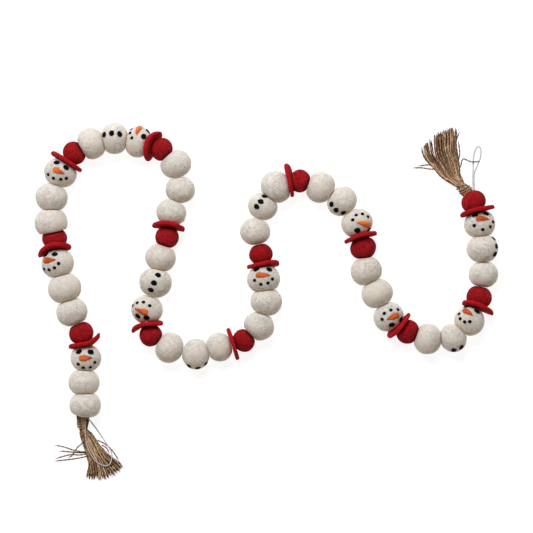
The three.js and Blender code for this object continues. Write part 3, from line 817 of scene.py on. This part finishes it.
for index, snowman in enumerate(snowmen):
    name = snowman["name"]
    red_sides = {"base": (index > 0, False), "middle": (False, False), "head": (False, True)}
    for part, reds in red_sides.items():
        points, marks = ball_form(snowman[part], reds)
        ball = Gathered()
        ball.add(points, SPHERE_FACES, **marks)
        add_piece(f"{name}_{part}_ball", ball, white_wool, [f"{name}_{part}"])
    points, marks = ball_form(snowman["crown"], (False, False), RED_CONTACT_SHADE_WIDTH)
    ball = Gathered()
    ball.add(points, SPHERE_FACES, crease=marks["crease"])
    add_piece(f"{name}_crown_ball", ball, red_wool, [f"{name}_hat"])
    disc = Gathered()
    disc.add(*brim_form(snowman["brim"]))
    add_piece(f"{name}_brim_disc", disc, red_sheet, [f"{name}_hat"])

# %% [markdown]
# ## Faces and buttons
#
# Eyes, mouths and buttons are pinches of black wool that a felting needle stabbed into the
# ball. They follow its roundness, stand about half a millimetre proud, and have no crisp edge.
# The carrot nose is a rolled wisp of orange wool, broad at one end and thin at the other, that
# lies across the face, a little frayed. Each is a low dome on the ball's own surface.
#
# Where the photograph shows a face, it gives the places, and one well outside the ball stands for a
# mark that has gone round the edge. Most places of eyes, mouths and buttons are the middles of dark
# spots as a script measured them, to a tenth of a pixel. The others, and those of the noses, were
# read off the photograph. Where a ball has rolled round and hides its face or its buttons, they
# have the usual places on the hidden side: roll says how many degrees the front has turned to the
# left from the top.

# %% Where the faces and the buttons are
FACES = {
    1: {"eyes": [(79.5, 351.2), (91.5, 351.5)], "nose": [(80, 358), (92.5, 357.5)],
        "mouth": [(79, 364), (84, 367.5), (91, 367), (95.5, 362)]},
    2: {"eyes": [(46.2, 254.8), (55.5, 254)], "nose": [(44.5, 261), (56, 260)],
        "mouth": [(44.8, 269), (50, 270), (55.7, 267.9), (59.8, 263.5)]},
    3: {"eyes": [(57.6, 162.7), (67.1, 167.9)], "nose": [(54.2, 169.4), (65.2, 174.2)],
        "mouth": [(49, 175), (54.5, 178.8), (61.8, 179.8), (67.3, 178.9)]},
    4: {"eyes": [(144.4, 137), (148.5, 130.6)], "nose": [(140.5, 127), (137, 135)],
        "mouth": [(132.4, 138.5), (130.4, 133.4), (131.6, 129.4), (134.5, 124.5)]},
    6: {"eyes": [(138, 316), (147, 317.8)], "nose": [(148.5, 312.8), (135.8, 308.7)],
        "mouth": [(133.1, 305.4), (137.5, 302.5), (144, 301.8), (150.3, 305.4)]},
    8: {"eyes": [(256.3, 269.2), (269.4, 269.4)], "nose": [(256, 275.2), (269.5, 275.2)],
        "mouth": [(254.6, 280.3), (260.8, 284.2), (268, 283), (272.5, 279)]},
    10: {"eyes": [(357.1, 230.8), (368.7, 230.1)], "nose": [(369.5, 225), (357, 223)],
         "mouth": [(352.2, 220.1), (355.8, 215.2), (362.1, 214.1), (367.8, 216.8)]},
    11: {"eyes": [(391.3, 324.9), (400.6, 319.5)], "nose": [(398, 314), (387, 319)],
         "mouth": [(381.5, 319.2), (383.8, 313.2), (390.4, 309.8), (397.6, 309.3)]},
    12: {"eyes": [(476.4, 311), (466.1, 306.4)], "nose": [(462.8, 309.7), (471.4, 315.4)],
         "mouth": [(458.4, 313.7), (459.3, 318.6), (463.7, 321.8), (468.8, 321.4)]},
    13: {"eyes": [(474.3, 215), (485.6, 213.7)], "nose": [(475, 219), (488, 219.5)],
         "mouth": [(473.2, 225.8), (481.8, 229.8), (489.6, 227), (492.4, 222)]},
}
BUTTONS = {
    4: [(104.6, 135.1), (112.2, 133.8), (120.4, 134.6)],
    6: [(158.6, 274.8), (154.6, 282.9), (151.3, 289.9)],
    7: [(189, 366), (198, 368), (206.2, 363.8)],
    9: [(264.6, 196.3), (260.7, 201.7), (256.4, 206.9)],
    10: [(331, 204.5), (335.8, 210.4), (343.2, 213.1)],
    12: [(445.6, 353.2), (453.4, 350.2), (461.2, 347.2)],
    13: [(493.7, 238.2), (496.1, 246.1), (494.6, 254.3)],
}
HIDDEN_FACE_ROLL = {5: 128, 7: -132, 9: 130}
HIDDEN_BUTTON_ROLL = {1: 118, 2: 122, 3: -120, 5: 116, 8: -124, 11: 120}
# Degrees across the face and towards the hat from the middle of the front.
USUAL_FACE = {"eyes": [(-18, 17), (18, 17)], "nose": [(-17, 1), (19, 0)],
              "mouth": [(-24, -12), (-9, -23), (9, -23), (24, -12)]}
USUAL_BUTTONS = [(0, 26), (0, 1), (0, -24)]
EDGE_SHARE = 0.97     # shares of the radius: as far out as a mark is put on the upper side,
HIDDEN_SHARE = 1.1    # and how far out a place is read as one on the lower side
SKIN_ROUNDS = 4       # rounds that find where the uneven skin lies under a pixel


def over_pixel(ball, px, py):
    """The direction in which the ball's skin lies under that pixel. Past the ball's outline it
    goes back in on the lower side."""
    offset = np.array(at_pixel(px, py)) - ball.centre[:2]
    out = ball.radius
    is_hidden = np.linalg.norm(offset) > HIDDEN_SHARE * out
    for _ in range(SKIN_ROUNDS):
        share = np.linalg.norm(offset) / out
        flat = unit(offset) * (2 - share if is_hidden else min(share, EDGE_SHARE))
        rise = math.sqrt(1 - flat @ flat)
        direction = np.array([*flat, -rise if is_hidden else rise])
        out = reach(ball, direction[None, :])[0][0]
    return direction


def usual_place(ball, roll, across_degrees, hatward_degrees):
    axis = unit(ball.ahead[0] - ball.back[0])
    side = left_of(axis)
    top = np.cross(axis, side)
    turn = math.radians(roll)
    front = math.cos(turn) * top + math.sin(turn) * side
    right = np.cross(axis, front)
    return unit(front + math.tan(math.radians(across_degrees)) * right
                + math.tan(math.radians(hatward_degrees)) * axis)


# %% Domes of black wool
PAD_RINGS = 6
PAD_COLUMNS = 24
PAD_SINK = 0.5        # mm that a pad's edge goes down into the ball
PAD_FRAY = 0.13       # how uneven its outline is, and how quickly that changes round it
FRAY_STEP = 1.6
PAD_POWER = 2.4       # 2 for a round dome, and more for a flatter one
EYE = {"length": 9.8, "width": 8.6, "height": 0.7}        # mm
MOUTH_DOT = {"length": 5.6, "width": 5.2, "height": 0.5}
BUTTON = {"length": 9.6, "width": 8, "height": 0.7}


def frayed_outline(seed, around):
    """How far out a pad's edge goes at each angle, as a share of its size."""
    return np.array([1 + PAD_FRAY * noise.noise(
        seed + FRAY_STEP * Vector((math.cos(angle), math.sin(angle), 0))) for angle in around])


def wool_pad(ball, direction, along, size):
    """A pad on the ball's skin, with its length as near to the direction along as can be."""
    across = unit(np.cross(direction, along))
    along = np.cross(across, direction)
    ring = np.linspace(0, 1, PAD_RINGS + 1)[1:, None]
    around = circle(PAD_COLUMNS)
    outline = frayed_outline(Vector(ball.centre + direction * ball.radius), around)
    x = ring * outline * size["length"] / 2 * np.cos(around)
    y = ring * outline * size["width"] / 2 * np.sin(around)
    aims = direction * ball.radius + x[..., None] * along + y[..., None] * across
    aims = unit(aims.reshape(-1, 3))
    dome = np.sqrt(1 - ring ** PAD_POWER)
    proud = size["height"] * dome * np.ones_like(around)
    proud[-1] = -PAD_SINK
    skin = reach(ball, aims)[0]
    points = ball.centre + aims * (skin + proud.ravel())[:, None]
    peak = reach(ball, direction[None, :])[0][0] + size["height"]
    points = np.vstack([points, ball.centre + direction * peak])
    top = PAD_RINGS * PAD_COLUMNS
    faces = [list(range(top - PAD_COLUMNS, top))[::-1]]
    faces += [[top, column, (column + 1) % PAD_COLUMNS] for column in range(PAD_COLUMNS)]
    return points, faces + ring_faces(PAD_RINGS, PAD_COLUMNS, mirrored=True)


# %% A rolled wisp for the nose
NOSE_WIDTH = 8        # mm
NOSE_HEIGHT = 0.55    # shares of the half width that it stands proud
NOSE_DEPTH = 0.5      # and goes down into the ball
NOSE_ROWS = 26
NOSE_COLUMNS = 16
NOSE_ROUND, NOSE_TAPER = 0.26, 0.9   # powers that shape its broad end and its thin end
NOSE_WISP = 0.12      # share of its length by which its last hairs go past the tip
NOSE_FRAY = 0.3       # how uneven its two edges are, and how quickly that changes along them
NOSE_FRAY_STEPS = 6
NOSE_EDGES = (0.5, 7.5)              # rows of the noise, one for each edge
NOSE_ENDS = (0.02, 0.995)            # shares of its swing where its mesh starts and ends
NOSE_SHADE, TIP_SHADE = 0.06, -0.15  # how light its broad end is, and how much less its tip


def nose_form(ball, broad, tip, tone, seed):
    """A tapering wisp from one direction to another across the ball. tone shifts its colour."""
    share = (1 - np.cos(np.linspace(*NOSE_ENDS, NOSE_ROWS) * math.pi)) / 2
    profile = share ** NOSE_ROUND * (1 - share) ** NOSE_TAPER
    widest = NOSE_ROUND / (NOSE_ROUND + NOSE_TAPER)
    half = NOSE_WIDTH / 2 * profile / (widest ** NOSE_ROUND * (1 - widest) ** NOSE_TAPER)
    onward = share[:, None] * (1 + NOSE_WISP)
    spine = unit(broad[None, :] * (1 - onward) + tip[None, :] * onward)
    across = unit(np.cross(broad, tip))
    around = circle(NOSE_COLUMNS)
    frayed = np.array([[1 + NOSE_FRAY * noise.noise(Vector((NOSE_FRAY_STEPS * s, seed, edge)))
                        for edge in NOSE_EDGES] for s in share])
    x = half[:, None] * np.cos(around) * np.where(np.cos(around) > 0, frayed[:, :1], frayed[:, 1:])
    rise = np.sin(around) * np.where(np.sin(around) > 0, NOSE_HEIGHT, NOSE_DEPTH)
    y = half[:, None] * rise[None, :]
    aims = unit((spine[:, None, :] * ball.radius + x[..., None] * across).reshape(-1, 3))
    skin = reach(ball, aims)[0]
    points = ball.centre + aims * (skin + y.ravel())[:, None]
    length = np.linalg.norm(tip - broad) * ball.radius
    straight = np.stack([x, y, np.broadcast_to((share * length)[:, None], x.shape)], axis=-1)
    straight = straight.reshape(-1, 3) + ball.centre
    faces = tube_faces(NOSE_ROWS, NOSE_COLUMNS, mirrored=True)
    # The needle packs the wool darker towards its tip.
    shade = np.repeat(tone + NOSE_SHADE + TIP_SHADE * share, NOSE_COLUMNS)
    return points, faces, straight * MM, shade


# %% Give each snowman a face and buttons
NOSE_TONES = 0.25     # how much the noses' shades of orange differ
NOSE_SEEDS = 1.7      # how many noses have about the same shade


def places(ball, shown, usual, roll):
    """The directions of a ball's marks, from where they show or else from their usual places."""
    if shown:
        return [over_pixel(ball, *pixel) for pixel in shown]
    return [usual_place(ball, roll, *angles) for angles in usual]


for number, snowman in enumerate(snowmen, start=1):
    head, middle = snowman["head"], snowman["middle"]
    shown = FACES.get(number, {})
    face = {part: places(head, shown.get(part), usual, HIDDEN_FACE_ROLL.get(number))
            for part, usual in USUAL_FACE.items()}
    buttons = places(middle, BUTTONS.get(number), USUAL_BUTTONS, HIDDEN_BUTTON_ROLL.get(number))
    black = Gathered()
    across = face["eyes"][1] - face["eyes"][0]
    for part, size in (("eyes", EYE), ("mouth", MOUTH_DOT)):
        for direction in face[part]:
            black.add(*wool_pad(head, direction, across, size))
    string_way = unit(middle.ahead[0] - middle.back[0])
    for direction in buttons:
        black.add(*wool_pad(middle, direction, np.cross(string_way, direction), BUTTON))
    add_piece(f"{snowman['name']}_eyes_mouth_buttons", black, black_wool)
    nose = Gathered()
    seed = number / NOSE_SEEDS
    tone = NOSE_TONES * noise.noise(Vector((seed, 0.5, 0.5)))
    points, faces, straight, shade = nose_form(head, *face["nose"], tone, seed)
    nose.add(points, faces, straight=straight, shade=shade)
    add_piece(f"{snowman['name']}_nose", nose, orange_wool)

# %% [markdown]
# ## The tassels
#
# A tassel is a bundle of jute yarns that is knotted against the end ball and fans out on the
# table. The yarns have two plies each and are not quite straight. They are cut off unevenly,
# and a few stray far out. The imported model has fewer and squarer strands. Here each yarn runs
# from the ball through the knot and out to its tip, so the neck is made of the same yarns as
# the fan, with more turns of yarn wound round it as the knot. Single hairs stand out all over.
#
# A head station is a cut across the knotted part, and a skirt row a line across the fan, from
# its left to its right as seen from the ball, with the height of its lowest yarns and half the
# rise to the highest. wander is how far a yarn strays to either side by its tip. A lock is a
# group of yarns, with the shares of the fan's width between which its tips lie.

# %% Tassel sizes
LAYERS = 4
YARN_RADIUS = 1.0        # mm
THINNEST, THICKEST = 0.75, 1.15       # shares of that radius
LAYER_THICKNESS = (1.35, 1.2, 1, 1)   # the lower yarns are spread flat by the weight on them
YARN_PLIES = 2
YARN_SIDES = 10
YARN_SPACING = 1.6       # mm between the rings of a yarn's mesh
YARN_LAY = 11            # mm for one turn of a ply
YARN_GROOVE = 0.3        # share of the radius that the lines between the plies are deep
NECK_SQUEEZE = 0.75      # share of a yarn's thickness that the knot leaves
NECK_RINGS = 16          # rings of its mesh over which it swells out again
BUNDLE_ROUNDING = 2.4    # 2 squeezes the square of yarns in the knot to a full circle
PARTING = (0, 0.1, 0.6, 1)   # how far the yarns have parted into locks at each row
WANDER_SIZE = 22         # mm along a yarn between its bends
WANDER_POWER = 1.5       # how late the bends set in
WANDER_RISE = 0.35       # share of a bend that goes up and down
WANDER_ROWS = (0.5, 9.5)     # rows of the noise, for the bends to the side and up and down
WANDER_SEEDS = (0, 100)
STRAY_RADIUS = 0.95      # mm
FRAYED_RINGS = 3         # rings of its mesh over which a yarn's end runs out
FRAYED_END = 0.35        # share of its thickness that is left at the very end
TIP_TRIM = (-2, 2.2)     # mm that a tip is cut off behind the line of the others
TIP_SPREAD = 0.012       # share of the fan's width by which a tip is off its place
WRAP_RADIUS = 1.35       # mm, as two yarns twisted into one
WRAP_PITCH = 2.9         # mm from one turn of the knot to the next
WRAP_STEPS = 40
WRAP_STARTS = -0.55 * math.pi   # a turn starts and ends under the neck
WRAP_BARREL = 0.25       # how much smaller the outer turns are
WRAP_DRIFT = 0.3         # mm forward in half a turn
# How much lighter or darker than the jute's middle tone things are.
LAYER_SHADES = (-0.34, -0.28, -0.16, 0.04)   # painted shade darkens the lower yarns
CLUMP, CLUMP_SHADE = 3, 0.24     # yarns that have about the same shade, and its reach
YARN_SHADES = (-0.12, 0.12)
# Painted light on a yarn's back and painted shade on its sides.
YARN_BACK, YARN_FLANK = 0.12, 0.5
STRAY_SHADE = -0.08
# Painted light on a turn's back and painted shade on its sides.
WRAP_BACK, WRAP_FLANK = 0.16, 0.3
WRAP_SHADES = (-0.06, 0.06)
TASSELS = {
    "tassel_left": {
        "head": [
            {"place": (-239, -144.8, 12.4), "facing": -98, "size": (19, 10.4)},
            {"place": (-239, -156.5, 10.5), "facing": -92, "size": (16, 10.5)},
            {"place": (-238.3, -166, 8), "facing": -82, "size": (11.5, 10)},
            {"place": (-235, -173, 5.4), "facing": -70, "size": (17.5, 9.4)},
        ],
        "skirt": [
            {"left": (-226, -173.5), "right": (-240.5, -180), "lowest": 1.7, "rise": 2.7},
            {"left": (-217, -187.5), "right": (-234.5, -196), "lowest": 1.1, "rise": 2.2},
            {"left": (-201.5, -203), "right": (-231, -213), "lowest": 1.0, "rise": 2.05},
            {"left": (-187, -214), "right": (-234, -228), "lowest": 1.0, "rise": 2.0},
        ],
        "bow": 8,
        "wander": 2.4,
        "locks": [
            {"yarns": 7, "tip": (0, 0.35)},
            {"yarns": 12, "tip": (0.43, 1)},
        ],
        "wraps": [
            {"place": (-242.8, -158.5, 10.4), "facing": -88, "size": (10, 13), "turns": 4,
             "tilt": 20},
            {"place": (-239.3, -169, 7.3), "facing": -78, "size": (11.5, 12), "turns": 2,
             "tilt": -20},
        ],
        "strays": [
            [(-234.5, -194.5, 3.4), (-242.5, -194.5, 3.1), (-252.5, -192.5, 1.6),
             (-264.5, -188.5, 0.8), (-277, -186, 0.8)],
            [(-234, -196, 0.9), (-244, -196, 0.8), (-257, -195, 0.8), (-268, -194, 0.8),
             (-271.5, -195, 0.8)],
            [(-234, -197.5, 0.9), (-244.5, -199, 0.8), (-255.5, -198.5, 0.8),
             (-266.5, -201, 0.8), (-276, -204, 0.8)],
            [(-233.5, -200.5, 0.9), (-238, -201.5, 0.8), (-248, -203.5, 0.8),
             (-259, -205, 0.8), (-277, -207, 0.8)],
            [(-237, -181, 5), (-246, -188, 5), (-250.5, -194.5, 4.4), (-254.5, -200, 3),
             (-260, -202.5, 0.8)],
            [(-221, -179.5, 1), (-212, -184, 0.8), (-203, -191.5, 0.8), (-195.5, -202, 0.8),
             (-192.5, -207, 0.8)],
            [(-215, -186, 0.9), (-209, -190, 0.8), (-205.5, -197.5, 0.8)],
        ],
    },
    "tassel_right": {
        "head": [
            {"place": (262, 141.9, 15.6), "facing": 124, "size": (15.5, 9)},
            {"place": (257.5, 148, 13.6), "facing": 127, "size": (15, 10)},
            {"place": (254, 152, 11.5), "facing": 130, "size": (11.5, 9.5)},
            {"place": (249, 157.5, 8), "facing": 124, "size": (16, 9)},
            {"place": (243.5, 163, 5.2), "facing": 116, "size": (21.5, 9)},
        ],
        "skirt": [
            {"left": (232, 161.6), "right": (251.5, 170), "lowest": 1.7, "rise": 2.7},
            {"left": (218, 176), "right": (249.5, 189), "lowest": 1.1, "rise": 2.3},
            {"left": (208, 188), "right": (247, 204), "lowest": 1.0, "rise": 2.1},
            {"left": (204.5, 202), "right": (247, 227.5), "lowest": 1.0, "rise": 2.1},
        ],
        "bow": 6.5,
        "wander": 1.4,
        "locks": [
            {"yarns": 5, "tip": (0, 0.13)},
            {"yarns": 1, "tip": (0.225, 0.225)},
            {"yarns": 14, "tip": (0.34, 0.91)},
            {"yarns": 1, "tip": (1, 1)},
        ],
        "wraps": [
            {"place": (259, 146.1, 14.6), "facing": 125, "size": (19, 13.6), "turns": 3,
             "tilt": 8},
            {"place": (254.6, 151.9, 11.7), "facing": 128, "size": (15, 12.6), "turns": 2,
             "tilt": 32},
            {"place": (251.4, 155.4, 9.6), "facing": 126, "size": (16.5, 12.2), "turns": 1,
             "tilt": -34},
        ],
        "strays": [
            [(220, 174.5, 1), (213, 174.5, 0.8), (203.5, 176, 0.8), (190.5, 176, 0.8)],
            [(216, 179.5, 1), (211, 180, 0.8), (206, 179.5, 0.8), (197.5, 178.5, 0.8)],
            [(250, 184, 1), (252.3, 194.5, 0.8), (251.5, 203, 0.8), (250.5, 211.5, 0.8)],
            [(247.2, 208, 1), (248.4, 214, 0.8), (250, 218.5, 0.8), (252.2, 223.2, 0.8)],
            [(249, 173.5, 1.5), (253.5, 178.5, 0.8), (255, 185, 0.8), (257, 188, 0.8),
             (261, 186.5, 1.4), (267, 184, 2.8), (273.5, 184, 2.8), (279, 185, 2.6)],
        ],
    },
}

# %% Lay the yarns
def blend(start, end, share):
    return start + (end - start) * share


def yarn_route(tassel, rank, tip_share, layer, trim):
    """The points of one yarn, from the ball to its tip. rank is its share of the knot's width."""
    points = []
    sideways = 2 * rank - 1
    upward = 2 * layer / (LAYERS - 1) - 1
    for station in tassel["head"]:
        width, height = (size / 2 - YARN_RADIUS for size in station["size"])
        left = left_of(facing_vector(station["facing"]))
        side = -sideways * math.sqrt(1 - upward ** 2 / BUNDLE_ROUNDING)
        rise = upward * math.sqrt(1 - sideways ** 2 / BUNDLE_ROUNDING)
        points.append(np.array(station["place"]) + left * side * width + UP * rise * height)
    for parting, row in zip(PARTING, tassel["skirt"]):
        share = blend(rank, tip_share, parting)
        left, right = np.array(row["left"]), np.array(row["right"])
        height = row["lowest"] + 2 * row["rise"] * layer / (LAYERS - 1)
        points.append(np.array([*blend(left, right, share), height]))
    outward = unit((points[-1] - points[-2]) * (1, 1, 0))
    points[-1] = points[-1] + outward * (tassel["bow"] * 4 * tip_share * (1 - tip_share) - trim)
    return points


def wandering(line, seed, radius, reach_mm):
    """The line with slow bends to the sides that grow along it, still above the table."""
    along = distances_along(line)
    growth = np.clip(along / along[-1], 0, 1) ** WANDER_POWER * reach_mm
    drift = np.array([[noise.noise(Vector((at / WANDER_SIZE, seed, row))) for row in WANDER_ROWS]
                      for at in along])
    side = left_of(unit(np.gradient(line, axis=0)))
    moved = line + side * (drift[:, 0] * growth * 2)[:, None]
    moved[:, 2] = np.maximum(moved[:, 2] + WANDER_RISE * drift[:, 1] * growth, radius)
    return moved


HAIR_RADIUS = 0.14      # mm, thicker than a real jute hair, so that it shows at all
HAIR_LENGTHS = (3, 8)   # mm
HAIR_SLANT = 0.9        # how far it heads to the side
HAIR_RISE = (-0.1, 0.5)
HAIR_BEND = 0.3         # share of its length that its end is bent away
HAIR_DROOP = (-0.6, 0.2)    # how far that is down or up, beside 1 to the sides
HAIR_TAPER = 0.6        # share of its thickness that it loses to its end
HAIR_SIDES = 3
HAIR_STEPS = 5
HAIR_SHADE = 0.12


def add_hair(gathered, start, ahead, dice):
    """One bent hair that leaves a yarn at a slant."""
    side = left_of(ahead) * dice.uniform(-1, 1)
    heading = unit(ahead + side * HAIR_SLANT + UP * dice.uniform(*HAIR_RISE))
    bend = unit(np.array([dice.uniform(-1, 1), dice.uniform(-1, 1), dice.uniform(*HAIR_DROOP)]))
    length = dice.uniform(*HAIR_LENGTHS)
    steps = np.linspace(0, 1, HAIR_STEPS)[:, None]
    line = start + heading * length * steps + bend * length * HAIR_BEND * steps ** 2
    line[:, 2] = np.maximum(line[:, 2], HAIR_RADIUS)
    thin = HAIR_RADIUS * (1 - HAIR_TAPER * steps[:, 0])
    points, faces, straight = sweep(line, thin, HAIR_SIDES, plies=1, lay=YARN_LAY, groove=0)
    gathered.add(points, faces, straight=straight, shade=np.full(len(points), HAIR_SHADE))


def add_yarn(gathered, line, radius, dice, shade, hairs=3):
    to_end = np.arange(len(line))[::-1] / FRAYED_RINGS
    start = dice.uniform(0, math.tau)
    points, faces, straight = sweep(line, radius * np.clip(to_end, FRAYED_END, 1), YARN_SIDES,
                                    YARN_PLIES, YARN_LAY, YARN_GROOVE, start,
                                    PATTERN_SHIFT * start)
    shades = flank_shades(YARN_SIDES, len(line), shade + YARN_BACK, YARN_FLANK)
    gathered.add(points, faces, straight=straight, shade=shades)
    for _ in range(hairs):
        at = dice.randrange(len(line) // 3, len(line) - 1)
        add_hair(gathered, line[at], unit(line[at + 1] - line[at]), dice)


def lay_yarn(gathered, tassel, rank, tip_share, layer, shade, dice):
    """One yarn of the fan, from the ball to its tip, with its own small differences."""
    tip_share += dice.uniform(-TIP_SPREAD, TIP_SPREAD)
    route = yarn_route(tassel, rank, tip_share, layer, dice.uniform(*TIP_TRIM))
    line = smooth_line(route, YARN_SPACING)
    line = wandering(line, dice.uniform(*WANDER_SEEDS), YARN_RADIUS, tassel["wander"])
    out_of_neck = np.clip(np.arange(len(line)) / NECK_RINGS, 0, 1)
    radius = (YARN_RADIUS * blend(NECK_SQUEEZE, LAYER_THICKNESS[layer], out_of_neck)
              * dice.uniform(THINNEST, THICKEST))
    add_yarn(gathered, line, radius, dice,
             LAYER_SHADES[layer] + shade + dice.uniform(*YARN_SHADES))


def wrap_turns(wrap):
    """The lines of the turns of yarn round the neck, side by side, which stand for the knot."""
    facing = facing_vector(wrap["facing"])
    width, height = (size / 2 - WRAP_RADIUS for size in wrap["size"])
    around = np.linspace(WRAP_STARTS, WRAP_STARTS + math.tau, WRAP_STEPS)
    for turn in range(wrap["turns"]):
        offset = turn - (wrap["turns"] - 1) / 2
        barrel = 1 - WRAP_BARREL * (2 * offset / max(wrap["turns"], 2)) ** 2
        slant = math.tan(math.radians(wrap["tilt"])) * width * np.cos(around)
        forward = offset * WRAP_PITCH + slant + WRAP_DRIFT * around / math.pi
        yield (np.array(wrap["place"]) + facing * forward[:, None]
               + left_of(facing) * (width * barrel * np.cos(around))[:, None]
               + UP * (height * barrel * np.sin(around))[:, None])


def add_wrap(gathered, wrap, dice):
    for line in wrap_turns(wrap):
        # It goes over and under, so a level section won't do.
        ahead = unit(np.gradient(line, axis=0))
        outward = unit(np.cross(ahead, facing_vector(wrap["facing"])))
        points, faces, straight = sweep(line, WRAP_RADIUS, YARN_SIDES, YARN_PLIES, YARN_LAY,
                                        YARN_GROOVE, dice.uniform(0, math.tau),
                                        axes=(outward, np.cross(outward, ahead)))
        # Painted shade: the sides of a turn, where it presses on the next, are darker than its
        # back.
        shades = WRAP_BACK - WRAP_FLANK * np.sin(circle(YARN_SIDES)) ** 2
        shades = np.tile(shades + dice.uniform(*WRAP_SHADES), len(line))
        gathered.add(points, faces, straight=straight, shade=shades)


# %% Build the tassels
for name, tassel in TASSELS.items():
    dice = random.Random(name)
    bundle = Gathered()
    total = sum(lock["yarns"] for lock in tassel["locks"])
    rank = 0
    for lock in tassel["locks"]:
        for index in range(lock["yarns"]):
            shade = CLUMP_SHADE * noise.noise(Vector((rank / CLUMP, len(name), 0.5)))
            for layer in range(LAYERS):
                # Every second layer lies over the gaps of the one below.
                between = 0.5 * (layer % 2)
                share = min(1, (index + between) / max(lock["yarns"] - 1, 1))
                lay_yarn(bundle, tassel, min(1, (rank + between) / (total - 1)),
                         blend(*lock["tip"], share), layer, shade, dice)
            rank += 1
    for wrap in tassel["wraps"]:
        add_wrap(bundle, wrap, dice)
    for stray in tassel["strays"]:
        add_yarn(bundle, smooth_line(stray, YARN_SPACING), STRAY_RADIUS, dice, STRAY_SHADE, hairs=2)
    add_piece(name + "_yarns", bundle, jute, [name])
    print(f"{name}: {total * LAYERS} yarns, {len(bundle.faces)} faces")

# %% [markdown]
# ## Table and light
#
# The photograph has the garland on plain white. One large, cool light beyond its top edge makes
# the upper sides of the balls the brightest, and a warm room fills their lower sides. So there
# is one wide lamp, whose shadows have no hard edge, and an even, warm sky. The table is a pale
# matt sheet that glows of itself, as a light table does. That keeps it white where the garland
# shades it, without throwing much of the lamp's light back up at the balls.

# %% Table and light
TABLE_SIZE = 60         # m, so that a low view has no edge of it either
TABLE_GLOW = 0.93
table = bpy.data.objects.new("table", bpy.data.meshes.new("table"))
half = TABLE_SIZE / 2
table.data.from_pydata([(-half, -half, 0), (half, -half, 0), (half, half, 0), (-half, half, 0)],
                       [], [(0, 1, 2, 3)])
paper, tree = new_material("pale_matt_glowing_table")
# The glow is painted light: it keeps the table white where the garland's shadows fall on it.
shader = add_node(tree, "BsdfPrincipled",
                  {"Base Color": linear("#909090"), "Roughness": 0.9, "Specular IOR Level": 0.1,
                   "Emission Color": linear("#F9F9FA"), "Emission Strength": TABLE_GLOW}, {})
finish_material(tree, shader)
table.data.materials.append(paper)
bpy.context.collection.objects.link(table)

SKY_STRENGTH = 0.17
sky = bpy.data.worlds.new("even_sky")
sky.use_nodes = True
sky.node_tree.nodes["Background"].inputs["Color"].default_value = linear("#FFDDB0")
sky.node_tree.nodes["Background"].inputs["Strength"].default_value = SKY_STRENGTH
bpy.context.scene.world = sky

LAMP_PLACE = Vector((-0.6, 2.1, 3.0))   # m
LAMP_SIZE = 1.8                         # m
LAMP_POWER = 150                        # W
lamp = bpy.data.objects.new("soft_lamp", bpy.data.lights.new("soft_lamp", "AREA"))
lamp.data.size = LAMP_SIZE
lamp.data.energy = LAMP_POWER
lamp.data.color = linear("#EEF4FF")[:3]
lamp.location = LAMP_PLACE
lamp.rotation_euler = (-LAMP_PLACE).to_track_quat("-Z", "Y").to_euler()
bpy.context.collection.objects.link(lamp)
bpy.context.scene.view_settings.view_transform = "Standard"
print("Table, sky and lamp are in place")
